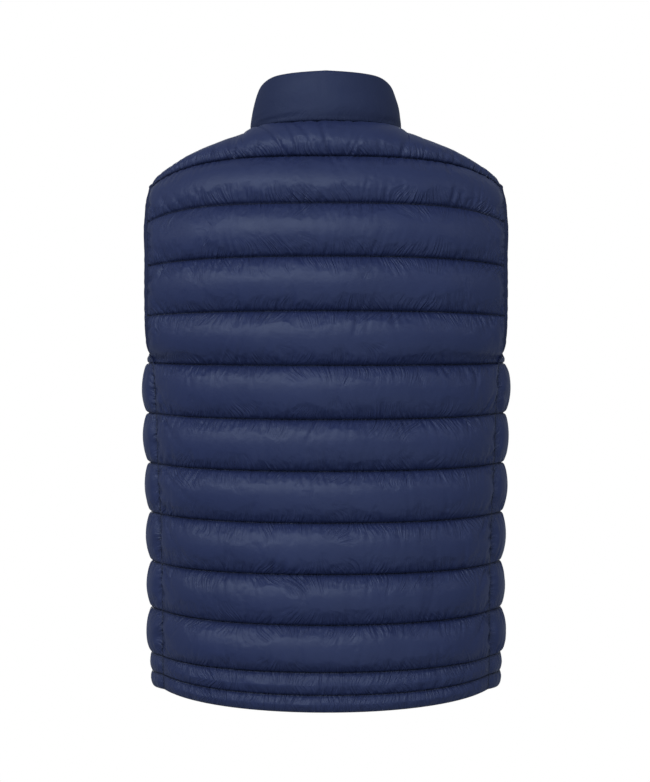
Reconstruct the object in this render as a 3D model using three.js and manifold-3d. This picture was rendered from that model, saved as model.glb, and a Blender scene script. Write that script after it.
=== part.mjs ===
// A quilted vest with a stand collar and a full-length front zip, filled out as if it were worn.
// Millimetres, +Z up. The front faces -Y and the wearer's left is at +X.
// The origin is on the centre plane at the base of the neck, where the shoulders hold the vest.
import * as THREE from "three";
import Module from "manifold-3d";

const wasm = await Module();
wasm.setup();

// Driving sizes
const SEAM_GAP = 0.3; // between neighbouring pieces along a seam
const TOP_TRIM = 0.012; // half of that gap along the shoulder seam and the neckline, in channels
const WALL = 2.2; // shell, wadding and backing where they are stitched flat
const EDGE_RISE = 0.5; // how far the shell stands up at a panel's own edge
const SEAM_TUCK = 9; // the distance over which the quilting rises beside a seam
const NECK = { halfWidth: 87, halfDepth: 77, centreY: -11, seamAngle: 95 };
const COLLAR = { lift: 0.45, fullness: 1.6, halfWidth: 76.5, halfDepth: 72, centreY: -12 };
const SHOULDER = {
  tipX: 200,
  tipY: -18,
  tipZ: -63.5,
  slopePower: 1.1,
  cornerShare: 0.4,
  overNape: 24,
  overShoulder: 70,
  arch: 3,
};
const BODY = { halfWidth: 207, halfDepth: 131, lastLine: 9.6 };
const ZIP = { halfWidth: 6, thickness: 2.6, proud: 0.3 };
const BINDING = { width: 6, thickness: 2.8, inset: 0.85, gap: 0.6 };
const SLIDER = {
  width: 8,
  length: 12,
  depth: 3,
  belowRim: 10,
  bridgeWidth: 2,
  bridgeRise: 2.8,
  bridgeBar: 1.1,
  bridgeReach: 3.2,
};
const PULL = {
  width: 7,
  length: 27,
  thickness: 1.2,
  bar: 1.2,
  holeWidth: 4,
  holeLength: 6.5,
  headWidth: 6.2,
  taper: 4,
  corner: 2.5,
};

// The channels between stitch lines, counted up from the hem: line 0 is the hem's edge and line 13 the
// shoulder seam.
const TOP_LINE = 13;
const UNDERARM_LINE = 8.12; // where the side seam ends and the armhole starts
const NECK_LINE = 11.64; // where the fronts' edge turns from the zip into the neckline
const CHANNEL_STEPS = [0, 0.12, 0.36, 0.64, 0.88]; // grid rows inside one channel
const CHANNEL_ROUNDNESS = 0.65; // below 1, the channel is fuller than a plain arch

// How far each channel's crown stands above its stitch lines, and the share of it that is left beside a side
// seam. It fades between two places across each panel.
const CHANNEL_RISE = { hem: 4.2, body: 11.5, shoulder: 9.5, sideShare: 0.6 };
const SIDE_FADE = { back: [0.6, 0.93], front: [0.45, 0.75] };

// Just above line 8 the panels lie flatter towards the underarm, so that nothing stands out under the armhole.
const UNDERARM_CALM = { depth: 0.85, back: [0.75, 1], front: [0.5, 0.85], lines: [8.2, 8.9] };

// More rows where the armhole and the neckline bend.
const EXTRA_STEPS = [8.24, 8.5, 11.5, 11.76, 12.24, 12.5];
const BACK_COLUMNS = [0, 0.05, 0.1, 0.15, 0.2, 0.25, 0.3, 0.35, 0.4, 0.5, 0.6, 0.7, 0.8, 0.88, 0.94, 0.98, 1];
const FRONT_COLUMNS = [0, 0.012, 0.04, 0.1, 0.18, 0.27, 0.36, 0.45, 0.54, 0.63, 0.72, 0.8, 0.88, 0.94, 0.98, 1];
// The plain inside needs fewer points than the quilted outside.
const BACKING_COLUMNS = 11;
const BACKING_LINES = [
  0.25, 1, 2, 3, 4, 5, 6, 7, 7.7, 8.4, 9, 9.5, 10, 10.5, 11, 11.4, 11.7, 12, 12.3, 12.6, 12.85,
];

// Sections of the back. inner is on the centre back, edge on the side seam or the armhole, and arc is the
// angle of the rounded arc between them, in degrees. bow is the power by which the line drops to its edge.
const BACK_SECTIONS = sections(
  ["line", "innerY", "innerZ", "edgeX", "edgeY", "edgeZ", "arc", "bow"],
  [
    [0, 128, -657, 185, 47, -645, 67, 2.1],
    [1, 128, -638, 186, 48, -628, 67, 2.2],
    [2, 128, -612.5, 186.5, 48, -607, 67, 2.4],
    [3, 128, -560.5, 186.5, 48, -555, 67, 2.4],
    [4, 127, -504.5, 187.5, 48, -501, 68, 2.4],
    [5, 126, -447.5, 189, 48, -444, 68, 2.4],
    [6, 126, -390, 192, 48, -386.5, 69, 2.4],
    [7, 128, -332.5, 194, 46, -329, 69, 2.4],
    [8, 131, -272.5, 198.5, 41, -271, 71, 2.4],
    [8.12, 131.5, -265, 199.5, 40.5, -267, 70, 2.4],
    [8.36, 132, -251, 201.5, 51, -260, 64, 2.4],
    [8.64, 132.5, -234, 202.8, 60, -243, 58, 2.4],
    [9, 133, -212, 203.3, 64, -217, 54, 2.6],
    [10, 131.5, -151.5, 203, 62, -160, 50, 3],
    [11, 122, -92, 205, 47, -109.5, 50, 4],
    [11.5, 111.3, -64.7, 205, 31.5, -86.5, 52.25, 3.6],
    [12, 98, -38, 203, 13, -67, 56, 3.2],
  ],
);

// Sections of a front. inner is on the zip's edge up to NECK_LINE and on the neckline above it.
const FRONT_SECTIONS = sections(
  ["line", "innerY", "innerZ", "edgeX", "edgeY", "edgeZ", "arc", "bow"],
  [
    [0, -126, -650, 185, 47, -645, 113, 2.4],
    [1, -127, -631.5, 186, 48, -628, 113, 2.4],
    [2, -128, -607, 186.5, 48, -607, 113, 2.4],
    [3, -129, -555, 186.5, 48, -555, 113, 2.4],
    [4, -129, -501, 187.5, 48, -501, 112, 2.4],
    [5, -128, -444, 189, 48, -444, 112, 2.4],
    [6, -128, -387, 192, 48, -386.5, 111, 2.4],
    [7, -130, -329.5, 194, 46, -329, 111, 2.4],
    [8, -133, -272, 198.5, 41, -271, 107, 2.4],
    [8.12, -133.5, -265, 199.5, 40.5, -267, 106, 2.4],
    [8.36, -134, -251, 203.8, 14, -263, 95, 4],
    [8.64, -134, -234, 204, -15, -245.5, 82, 4],
    [9, -134, -213, 203, -43, -219, 71, 3],
    [10, -130, -155, 199, -57, -160, 64, 2.6],
    [11, -113, -99, 201, -48, -108, 60, 2.6],
    [11.64, -88, -67, 202, -37.5, -84, 56, 2.2],
    [12, -67, -44, 202, -29, -73.5, 46, 1.7],
  ],
);

// The neckline's height by angle round the neck, from 0 at the centre back to 180 at the centre front, and the
// angle at which each front section above NECK_LINE meets it.
const NECKLINE = sections(
  ["angle", "z", "rimZ"],
  [
    [0, 4, 63],
    [45, 2.8, 60],
    [90, -4, 45],
    [120, -25, 25],
    [150, -55, 4],
    [180, -67.5, -7],
  ],
);
const NECK_ANGLES = sections(
  ["line", "angle"],
  [
    [11.64, 175.8],
    [12, 137],
    [13, 95],
  ],
);

// The collar's thickness on each side of its middle surface, from the foot at 0 to the rim at 1.
const COLLAR_PROFILE = sections(
  ["up", "outer", "inner"],
  [
    [0, 0.5, 2.2],
    [0.07, 2.3, 2.7],
    [0.35, 2.6, 2.5],
    [0.65, 2.6, 2.5],
    [0.93, 2.4, 2.4],
    [1, 1.3, 1.3],
  ],
);

// The binding's closed section: out from the cloth's edge as a share of its width, across as one of its thickness.
const BINDING_PROFILE = sections(
  ["out", "across"],
  [
    [0, -0.5],
    [0.16, -0.5],
    [0.84, -0.42],
    [1, 0],
    [0.84, 0.42],
    [0.16, 0.5],
    [0, 0.5],
  ],
);

// How far up the collar the zip has its last points.
const ZIP_STEPS = [0.15, 0.5, 0.8, 0.97];

const radians = (degrees) => (degrees * Math.PI) / 180;
const clamp = (value, low, high) => Math.min(high, Math.max(low, value));
const mix = (from, to, share) => from + (to - from) * share;
const smoothstep = (low, high, value) => {
  const share = clamp((value - low) / (high - low), 0, 1);
  return share * share * (3 - 2 * share);
};

const evenly = (low, high, count) => Array.from({ length: count + 1 }, (_, i) => mix(low, high, i / count));

// A table as a list of rows with named columns.
function sections(columns, rows) {
  return rows.map((row) => Object.fromEntries(columns.map((name, i) => [name, row[i]])));
}

// One column of a table at a place between its rows, by a cubic that doesn't overshoot.
function along(table, key, column, at) {
  let k = 0;
  while (k < table.length - 2 && table[k + 1][key] < at) k++;
  const slope = (i) => (table[i + 1][column] - table[i][column]) / (table[i + 1][key] - table[i][key]);
  const tangent = (i) => {
    if (i === 0) return slope(0);
    if (i === table.length - 1) return slope(i - 1);
    const [before, after] = [slope(i - 1), slope(i)];
    return before * after <= 0 ? 0 : (2 * before * after) / (before + after);
  };
  const step = table[k + 1][key] - table[k][key];
  const share = clamp((at - table[k][key]) / step, 0, 1);
  const [s2, s3] = [share ** 2, share ** 3];
  return (
    (2 * s3 - 3 * s2 + 1) * table[k][column] +
    (s3 - 2 * s2 + share) * step * tangent(k) +
    (3 * s2 - 2 * s3) * table[k + 1][column] +
    (s3 - s2) * step * tangent(k + 1)
  );
}

// The seam where the collar meets the body: an ellipse in plan, dipping to the centre front.
function neckRing(angle) {
  return new THREE.Vector3(
    NECK.halfWidth * Math.sin(radians(angle)),
    NECK.centreY + NECK.halfDepth * Math.cos(radians(angle)),
    along(NECKLINE, "angle", "z", Math.abs(angle)),
  );
}

// The collar's upper rim, a little narrower than the neck seam.
function rimRing(angle) {
  return new THREE.Vector3(
    COLLAR.halfWidth * Math.sin(radians(angle)),
    COLLAR.centreY + COLLAR.halfDepth * Math.cos(radians(angle)),
    along(NECKLINE, "angle", "rimZ", Math.abs(angle)),
  );
}

const COLLAR_END = 180 - THREE.MathUtils.radToDeg(Math.asin((ZIP.halfWidth + SEAM_GAP) / COLLAR.halfWidth));
const collarShare = (angle) => THREE.MathUtils.inverseLerp(-COLLAR_END, COLLAR_END, angle);
const collarAngle = (across) => mix(-COLLAR_END, COLLAR_END, across);

// The collar's middle surface: across runs from 0 at the right zip edge to 1 at the left, up from 0 at the foot
// to 1 at the rim.
function collarSurface(across, up) {
  const angle = collarAngle(across);
  const low = neckRing(angle);
  low.z += COLLAR.lift;
  const swell = COLLAR.fullness * Math.sin(Math.PI * up);
  const outward = new THREE.Vector3(Math.sin(radians(angle)), Math.cos(radians(angle)), 0);
  return low.lerp(rimRing(angle), up).addScaledVector(outward, swell);
}

const collarNormal = (angle) => normalOf(COLLAR_BAND, clamp(collarShare(angle), 0, 1), 0);

// The normal shared by the collar's foot and the panel below it, at an angle round the neck.
function footNormal(angle) {
  const turn = Math.abs(angle);
  if (turn <= NECK.seamAngle) {
    return panelNormal(BACK, (angle / NECK.seamAngle) * SHOULDER.cornerShare, TOP_LINE);
  }
  let [low, high] = [NECK_LINE, TOP_LINE];
  for (let step = 0; step < 30; step++) {
    const middle = (low + high) / 2;
    if (neckAngle(middle) > turn) low = middle;
    else high = middle;
  }
  return mirrored(panelNormal(FRONT, 0, low), Math.sign(angle));
}

// A point on one section: an elliptical arc from the inner point to the edge, share 0 to 1 of the way.
function sectionPoint(inner, edge, arc, bow, share) {
  const last = radians(arc);
  const first = Math.asin((inner.x * Math.sin(last)) / edge.x);
  const turn = mix(first, last, share);
  const roundness = (Math.cos(turn) - Math.cos(last)) / (Math.cos(first) - Math.cos(last));
  return new THREE.Vector3(
    (edge.x * Math.sin(turn)) / Math.sin(last),
    mix(edge.y, inner.y, roundness),
    mix(inner.z, edge.z, share ** bow),
  );
}

const edgeOf = (table, line) =>
  new THREE.Vector3(...["edgeX", "edgeY", "edgeZ"].map((column) => along(table, "line", column, line)));

// The back's stitched surface: side is -1 to 1 from one edge to the other, line is the height in stitch lines.
function backSurface(side, line) {
  const share = Math.abs(side);
  const point = line <= TOP_LINE - 1 ? backSection(share, line) : overShoulder(share, line - (TOP_LINE - 1));
  point.x *= Math.sign(side);
  return point;
}

function backSection(share, line) {
  const at = (column) => along(BACK_SECTIONS, "line", column, line);
  const inner = new THREE.Vector3(0, at("innerY"), at("innerZ"));
  return sectionPoint(inner, edgeOf(BACK_SECTIONS, line), at("arc"), at("bow"), share);
}

// The shoulder seam, from the neck at 0 to the tip at 1.
function shoulderSeam(out) {
  const corner = neckRing(NECK.seamAngle);
  return new THREE.Vector3(
    mix(corner.x, SHOULDER.tipX, out),
    mix(corner.y, SHOULDER.tipY, out),
    mix(corner.z, SHOULDER.tipZ, out ** SHOULDER.slopePower),
  );
}

// The back's top edge: the neckline up to cornerShare, then the shoulder seam.
function backTop(share) {
  const { cornerShare } = SHOULDER;
  if (share <= cornerShare) return neckRing((NECK.seamAngle * share) / cornerShare);
  return shoulderSeam((share - cornerShare) / (1 - cornerShare));
}

// The top channel of the back, which turns over the shoulder from upright to nearly level.
function overShoulder(share, up) {
  const low = backSection(share, TOP_LINE - 1);
  const high = backTop(share);
  const onShoulder = smoothstep(0, SHOULDER.cornerShare, share);
  const turn = radians(mix(SHOULDER.overNape, SHOULDER.overShoulder, onShoulder));
  const forward = (1 - Math.cos(up * turn)) / (1 - Math.cos(turn));
  const rise = Math.sin(up * turn) / Math.sin(turn);
  const arch = SHOULDER.arch * Math.sin(Math.PI * up) * smoothstep(SHOULDER.cornerShare, 1, share);
  return new THREE.Vector3(mix(low.x, high.x, up), mix(low.y, high.y, forward), mix(low.z, high.z, rise) + arch);
}

const neckAngle = (line) => along(NECK_ANGLES, "line", "angle", line);

// A front's inner edge: beside the zip up to NECK_LINE, then round the neckline.
function frontInner(line) {
  if (line > NECK_LINE) return neckRing(neckAngle(line));
  const [y, z] = ["innerY", "innerZ"].map((column) => along(FRONT_SECTIONS, "line", column, line));
  return new THREE.Vector3(ZIP.halfWidth + SEAM_GAP, y, z);
}

// A front's stitched surface, for the wearer's left: share is 0 at the inner edge and 1 at the outer edge.
function frontSurface(share, line) {
  if (line > TOP_LINE - 1) return frontShoulder(share, line - (TOP_LINE - 1));
  const [arc, bow] = ["arc", "bow"].map((column) => along(FRONT_SECTIONS, "line", column, line));
  return sectionPoint(frontInner(line), edgeOf(FRONT_SECTIONS, line), arc, bow, share);
}

// The top channel of a front, from its last stitch line up to the shoulder seam.
function frontShoulder(share, up) {
  const point = frontSurface(share, TOP_LINE - 1).lerp(shoulderSeam(share), up);
  const chord = frontInner(TOP_LINE - 1).lerp(shoulderSeam(0), up);
  const bend = frontInner(TOP_LINE - 1 + up).sub(chord);
  point.z += SHOULDER.arch * Math.sin(Math.PI * up) * smoothstep(0, 1, share);
  return point.addScaledVector(bend, (1 - share) ** 2);
}

// The outward unit normal of a surface of two parameters, by small differences kept inside its borders.
function normalOf(surface, across, up) {
  const [stepAcross, stepUp] = [0.004, 0.02];
  const [a0, a1] = [clamp(across - stepAcross, surface.low, 1), clamp(across + stepAcross, surface.low, 1)];
  const [u0, u1] = [clamp(up - stepUp, 0, surface.top), clamp(up + stepUp, 0, surface.top)];
  const sideways = surface.at(a1, up).sub(surface.at(a0, up));
  const upwards = surface.at(across, u1).sub(surface.at(across, u0));
  return sideways.cross(upwards).normalize().multiplyScalar(surface.outward);
}

const BACK = { at: backSurface, low: -1, top: TOP_LINE, width: 225, outward: -1 };
const FRONT = {
  at: frontSurface,
  low: 0,
  top: TOP_LINE,
  width: 330,
  underarmWidth: 230,
  shoulderWidth: 130,
  outward: 1,
};
const COLLAR_BAND = { at: collarSurface, low: 0, top: 1, outward: -1 };
const mirrored = (vector, side) => vector.clone().multiply(new THREE.Vector3(side, 1, 1));

// The outward normal of the round body at a point, used below the armholes and round their lower half.
const bodyNormal = ({ x, y }) => new THREE.Vector3(x / BODY.halfWidth ** 2, y / BODY.halfDepth ** 2, 0).normalize();

// A panel's outward normal. Above the body's round part it is the panel's own.
function panelNormal(surface, across, line) {
  const round = bodyNormal(surface.at(across, line));
  const upper = smoothstep(BODY.lastLine - 1, BODY.lastLine, line);
  return upper === 0 ? round : round.lerp(seamNormal(surface, across, line), upper).normalize();
}

// Where pieces meet at a seam, their edges share one normal, so that they lie face to face.
function seamNormal(surface, across, line) {
  const side = Math.sign(across);
  const share = Math.abs(across);
  const meeting = [normalOf(surface, across, line)];
  const isBack = surface === BACK;
  const { cornerShare } = SHOULDER;
  if (line > TOP_LINE - 2 * TOP_TRIM) {
    const out = isBack ? (share - cornerShare) / (1 - cornerShare) : share;
    if (isBack && out > -0.01) meeting.push(mirrored(normalOf(FRONT, Math.max(0, out), TOP_LINE), side));
    if (!isBack) meeting.push(normalOf(BACK, mix(cornerShare, 1, out), TOP_LINE));
    if (isBack && out < 0.01) meeting.push(collarNormal((across * NECK.seamAngle) / cornerShare));
  }
  if (!isBack && share < 0.005 && line > NECK_LINE - 0.01) meeting.push(collarNormal(neckAngle(line)));
  return meeting.reduce((sum, normal) => sum.add(normal)).normalize();
}

// How full a channel is at a height given in stitch lines: 0 on the lines and 1 at the crown.
const fullness = (line) => Math.max(0, Math.sin(Math.PI * (line % 1))) ** CHANNEL_ROUNDNESS;

// The share of the quilting's height that is left near the underarm.
function underarmShare(line, share, places) {
  const near = line < Math.floor(UNDERARM_LINE) ? 0 : 1 - smoothstep(...UNDERARM_CALM.lines, line);
  return 1 - UNDERARM_CALM.depth * near * smoothstep(...places, share);
}

function channelRise(line) {
  if (line < 2) return CHANNEL_RISE.hem;
  return line < TOP_LINE - 1 ? CHANNEL_RISE.body : CHANNEL_RISE.shoulder;
}

// The quilting's height above the stitched surface. nearest is the distance to the panel's closest seam.
function quilting(line, nearest, sideShare) {
  const seam = 1 - Math.exp(-Math.max(0, nearest) / SEAM_TUCK);
  return EDGE_RISE + channelRise(line) * fullness(line) * seam * sideShare;
}

// Grid rows in stitch lines, just inside the panel's lower and upper seams.
function gridLines(trim) {
  const lines = [];
  for (let line = 0; line < TOP_LINE; line++) lines.push(...CHANNEL_STEPS.map((step) => line + step));
  return [...lines, ...EXTRA_STEPS, TOP_LINE - trim].sort((a, b) => a - b);
}

// The four sides of a grid as [row, column] places, running round it in one direction.
function gridSides(grid) {
  const [top, last] = [grid.length - 1, grid[0].length - 1];
  const walk = (count, place) => Array.from({ length: count + 1 }, (_, k) => place(k));
  return [
    walk(last, (k) => [0, k]),
    walk(top, (k) => [k, last]),
    walk(last, (k) => [top, last - k]),
    walk(top, (k) => [top - k, 0]),
  ];
}

// How far round each of its four sides a grid's rows and columns lie, each side from 0 to 1.
function sideShares(rows, columns) {
  const shares = (values) => values.map((value) => (value - values[0]) / (values[values.length - 1] - values[0]));
  return [columns, rows, [...columns].reverse(), [...rows].reverse()].map(shares);
}

// A closed wall between an outer and an inner grid of points. Where the inner grid is coarser, rim.at gives the
// inner point that faces each point on the outer grid's border, and the coarse grid ends a little inside them.
function wallBetween(outer, inner, rim) {
  const positions = [];
  const triangles = [];
  const add = (point) => positions.push(point.x, point.y, point.z) / 3 - 1;
  const skin = (ids, flip) => {
    for (let i = 0; i < ids.length - 1; i++) {
      for (let j = 0; j < ids[0].length - 1; j++) {
        const [a, b, c, d] = [ids[i][j], ids[i][j + 1], ids[i + 1][j + 1], ids[i + 1][j]];
        triangles.push(...(flip ? [a, c, b, a, d, c] : [a, b, c, a, c, d]));
      }
    }
  };
  const strip = (from, to, fromShares, toShares) => {
    let [i, j] = [0, 0];
    const [m, n] = [from.length - 1, to.length - 1];
    while (i < m || j < n) {
      if (j === n || (i < m && fromShares[i + 1] <= toShares[j + 1])) triangles.push(from[i + 1], from[i++], to[j]);
      else triangles.push(to[j], to[++j], from[i]);
    }
  };
  const [out, back] = [outer, inner].map((grid) => grid.map((row) => row.map(add)));
  skin(out, false);
  skin(back, true);
  const pick = (ids) => gridSides(ids).map((side) => side.map(([i, j]) => ids[i][j]));
  const [outSides, backSides] = [pick(out), pick(back)];
  let rimSides = backSides;
  if (rim) {
    const ids = outer.map((row) => row.map(() => null));
    for (const [i, j] of gridSides(outer).flat()) ids[i][j] ??= add(rim.at(i, j));
    rimSides = pick(ids);
    rimSides.forEach((side, s) => strip(side, backSides[s], rim.outerShares[s], rim.innerShares[s]));
  }
  outSides.forEach((side, s) => {
    const even = evenly(0, 1, side.length - 1);
    strip(side, rimSides[s], even, even);
  });
  return solidGeometry(positions, triangles);
}

// A geometry whose faces point out, whichever way its triangles were listed.
function solidGeometry(positions, triangles) {
  const corner = (i) => new THREE.Vector3().fromArray(positions, 3 * i);
  let volume = 0;
  for (let i = 0; i < triangles.length; i += 3) {
    volume += corner(triangles[i]).dot(corner(triangles[i + 1]).cross(corner(triangles[i + 2])));
  }
  const facing = volume < 0 ? [...triangles].reverse() : triangles;
  const geometry = new THREE.BufferGeometry();
  geometry.setAttribute("position", new THREE.Float32BufferAttribute(positions, 3));
  geometry.setIndex(facing);
  geometry.computeVertexNormals();
  return geometry;
}

// A quilted panel: the raised outside over a plain inside, trimmed by half a seam gap at each seam.
function quiltedPanel(surface, columns, backing, riseAt, side) {
  const trim = SEAM_GAP / 2 / surface.width;
  const lines = gridLines(TOP_TRIM);
  const pointAt = (across, line, height) => {
    const at = clamp(across, surface.low + (surface.low < 0 ? trim : 0), 1 - trim);
    return mirrored(surface.at(at, line).addScaledVector(panelNormal(surface, at, line), height), side);
  };
  const outer = lines.map((line) => columns.map((across) => pointAt(across, line, riseAt(across, line))));
  const inner = BACKING_LINES.map((line) => backing.map((across) => pointAt(across, line, -WALL)));
  return wallBetween(outer, inner, {
    at: (i, j) => pointAt(columns[j], lines[i], -WALL),
    outerShares: sideShares(lines, columns),
    innerShares: sideShares(BACKING_LINES, backing),
  });
}

function backPanel() {
  const half = BACK_COLUMNS.slice(1);
  const columns = [...half.map((share) => -share).reverse(), 0, ...half];
  const backing = evenly(-0.96, 0.96, BACKING_COLUMNS);
  const riseAt = (side, line) => {
    const share = Math.abs(side);
    const toSide = mix(1, CHANNEL_RISE.sideShare, smoothstep(...SIDE_FADE.back, share));
    return quilting(line, (1 - share) * BACK.width, toSide * underarmShare(line, share, UNDERARM_CALM.back));
  };
  return quiltedPanel(BACK, columns, backing, riseAt, 1);
}

// A front's width at a height in stitch lines: narrower above the underarm.
function frontWidth(line) {
  if (line < UNDERARM_LINE) return FRONT.width;
  return mix(FRONT.underarmWidth, FRONT.shoulderWidth, smoothstep(UNDERARM_LINE, TOP_LINE, line));
}

function frontPanel(side) {
  const riseAt = (share, line) => {
    const toSide = mix(1, CHANNEL_RISE.sideShare, smoothstep(...SIDE_FADE.front, share));
    const near = Math.min(share, 1 - share) * frontWidth(line);
    return quilting(line, near, toSide * underarmShare(line, share, UNDERARM_CALM.front));
  };
  return quiltedPanel(FRONT, FRONT_COLUMNS, evenly(0.03, 0.97, BACKING_COLUMNS), riseAt, side);
}

// The stand collar: a padded band from one zip edge round the back of the neck to the other. Its foot is as
// thin as the panels it is sewn to, and turned to face them.
function collarBand() {
  const half = BACK_COLUMNS.filter((share) => share < SHOULDER.cornerShare - 0.01).map(
    (share) => (share * NECK.seamAngle) / SHOULDER.cornerShare,
  );
  const front = gridLines(0).filter((line) => line > NECK_LINE - 0.01).map(neckAngle).reverse();
  const turns = [...half, ...front.filter((angle) => angle < COLLAR_END), COLLAR_END];
  const columns = [...turns.slice(1).map((angle) => -angle).reverse(), ...turns].map(collarShare);
  const shell = (side) =>
    COLLAR_PROFILE.map(({ up, outer, inner }) =>
      columns.map((across) => {
        const normal = normalOf(COLLAR_BAND, across, up);
        if (up === 0) normal.copy(footNormal(collarAngle(across)));
        return collarSurface(across, up).addScaledVector(normal, side > 0 ? outer : -inner);
      }),
    );
  return wallBetween(shell(1), shell(-1));
}

// The closed zip: a narrow band in the centre front from the hem to the collar's rim.
function zipBand() {
  const body = gridLines(0).filter((line) => line <= NECK_LINE);
  const points = body.map((line) => frontSurface(0, line).setX(0));
  const seam = neckRing(180);
  const rim = rimRing(180);
  const collarPath = ZIP_STEPS.map(
    (up) => new THREE.Vector3(0, mix(seam.y, rim.y, up), mix(seam.z, rim.z, up)),
  );
  const path = [...points, ...collarPath];
  const shell = (offset) =>
    path.map((point, i) => {
      const tangent = path[Math.min(i + 1, path.length - 1)].clone().sub(path[Math.max(i - 1, 0)]);
      const outward = new THREE.Vector3(0, -tangent.z, tangent.y).normalize();
      return [-1, 1].map((side) => point.clone().addScaledVector(outward, offset).setX(side * ZIP.halfWidth));
    });
  const face = EDGE_RISE + ZIP.proud;
  return wallBetween(shell(face), shell(face - ZIP.thickness));
}

// The armhole's edge, as a closed loop of points with the cloth's normal at each: up the back, down the front.
function armholeLoop(mirror) {
  const sample = (surface, line) => ({ point: surface.at(1, line), normal: panelNormal(surface, 1, line) });
  const lines = gridLines(0).filter((line) => line >= UNDERARM_LINE);
  const upBack = lines.map((line) => sample(BACK, line));
  const downFront = lines.slice(1, -1).reverse().map((line) => sample(FRONT, line));
  return [...upBack, ...downFront].map(({ point, normal }) => ({
    point: mirrored(point, mirror),
    normal: mirrored(normal, mirror),
  }));
}

// The elastic binding round an armhole: a flat band standing out from the cloth's edge.
function armholeBinding(mirror) {
  const loop = armholeLoop(mirror);
  const count = loop.length;
  const positions = [];
  for (let i = 0; i < count; i++) {
    const { point, normal } = loop[i];
    const tangent = loop[(i + 1) % count].point.clone().sub(loop[(i + count - 1) % count].point);
    const outward = normal.clone().cross(tangent).normalize().multiplyScalar(mirror);
    for (const { out, across } of BINDING_PROFILE) {
      const place = point
        .clone()
        .addScaledVector(outward, BINDING.gap + BINDING.width * out)
        .addScaledVector(normal, BINDING.thickness * across - BINDING.inset);
      positions.push(place.x, place.y, place.z);
    }
  }
  const around = BINDING_PROFILE.length;
  const triangles = [];
  for (let i = 0; i < count; i++) {
    for (let j = 0; j < around; j++) {
      const [next, beside] = [(i + 1) % count, (j + 1) % around];
      const [a, b, c, d] = [i * around + j, i * around + beside, next * around + beside, next * around + j];
      triangles.push(a, b, c, a, c, d);
    }
  }
  return solidGeometry(positions, triangles);
}

// A closed geometry as a solid that can be joined to another.
function solidOf(geometry) {
  const plain = geometry.index ? geometry.toNonIndexed() : geometry;
  const seen = new Map();
  const points = [];
  const corners = [];
  const source = plain.getAttribute("position");
  for (let i = 0; i < source.count; i++) {
    const place = [source.getX(i), source.getY(i), source.getZ(i)];
    const key = place.map((value) => value.toFixed(4)).join();
    if (!seen.has(key)) {
      seen.set(key, points.length / 3);
      points.push(...place);
    }
    corners.push(seen.get(key));
  }
  const mesh = { numProp: 3, vertProperties: new Float32Array(points), triVerts: new Uint32Array(corners) };
  return new wasm.Manifold(new wasm.Mesh(mesh));
}

function geometryOf(solid) {
  const mesh = solid.getMesh();
  return solidGeometry([...mesh.vertProperties], [...mesh.triVerts]);
}

const box = (width, depth, height, y, z) => new THREE.BoxGeometry(width, depth, height).translate(0, y, z);

// The slider: a shield-shaped body, its corners as shares of its half sizes, with a bridge in front that holds
// the pull. Its own origin is on the pull's axis.
function sliderBody() {
  const { width, length, depth, bridgeWidth, bridgeRise, bridgeBar, bridgeReach } = SLIDER;
  const [half, long] = [width / 2, length / 2];
  const outline = new THREE.Shape();
  outline.moveTo(-half, -long * 0.2);
  outline.lineTo(-half * 0.62, -long);
  outline.lineTo(half * 0.62, -long);
  outline.lineTo(half, -long * 0.2);
  outline.lineTo(half, long * 0.6);
  outline.quadraticCurveTo(half * 0.9, long, half * 0.35, long);
  outline.lineTo(-half * 0.35, long);
  outline.quadraticCurveTo(-half * 0.9, long, -half, long * 0.6);
  const plate = new THREE.ExtrudeGeometry(outline, { depth, bevelEnabled: false, curveSegments: 4 });
  plate.rotateX(Math.PI / 2).translate(0, bridgeRise / 2 + depth, 0);
  const barY = -bridgeRise / 2 - bridgeBar / 2;
  const legDepth = bridgeRise + bridgeBar + 0.5;
  const legY = barY - bridgeBar / 2 + legDepth / 2;
  const pieces = [
    box(bridgeWidth, bridgeBar, 2 * bridgeReach + bridgeBar, barY, 0),
    box(bridgeWidth, legDepth, bridgeBar, legY, bridgeReach),
    box(bridgeWidth, legDepth, bridgeBar, legY, -bridgeReach),
  ];
  return geometryOf(pieces.reduce((joined, piece) => joined.add(solidOf(piece)), solidOf(plate)));
}

// The pull tab: a plate whose top bar turns behind the slider's bridge. Its own origin is on that bar.
function pullTab() {
  const { width, length, thickness, bar, holeWidth, holeLength, headWidth, taper, corner } = PULL;
  const [half, head, foot] = [width / 2, headWidth / 2, length - bar / 2];
  const outline = new THREE.Shape();
  outline.moveTo(-head, bar / 2);
  outline.lineTo(-head, -holeLength);
  outline.lineTo(-half, -holeLength - taper);
  outline.lineTo(-half, -foot + corner);
  outline.quadraticCurveTo(-half, -foot, -half + corner, -foot);
  outline.lineTo(half - corner, -foot);
  outline.quadraticCurveTo(half, -foot, half, -foot + corner);
  outline.lineTo(half, -holeLength - taper);
  outline.lineTo(head, -holeLength);
  outline.lineTo(head, bar / 2);
  const [holeTop, holeFoot] = [-bar / 2, -bar / 2 - holeLength + 1];
  const hole = new THREE.Path();
  hole.moveTo(-holeWidth / 2, holeTop);
  hole.lineTo(holeWidth / 2, holeTop);
  hole.lineTo(holeWidth / 2, holeFoot);
  hole.lineTo(-holeWidth / 2, holeFoot);
  outline.holes.push(hole);
  const plate = new THREE.ExtrudeGeometry(outline, { depth: thickness, bevelEnabled: false, curveSegments: 4 });
  return plate.rotateX(Math.PI / 2).translate(0, thickness / 2, 0);
}

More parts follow.
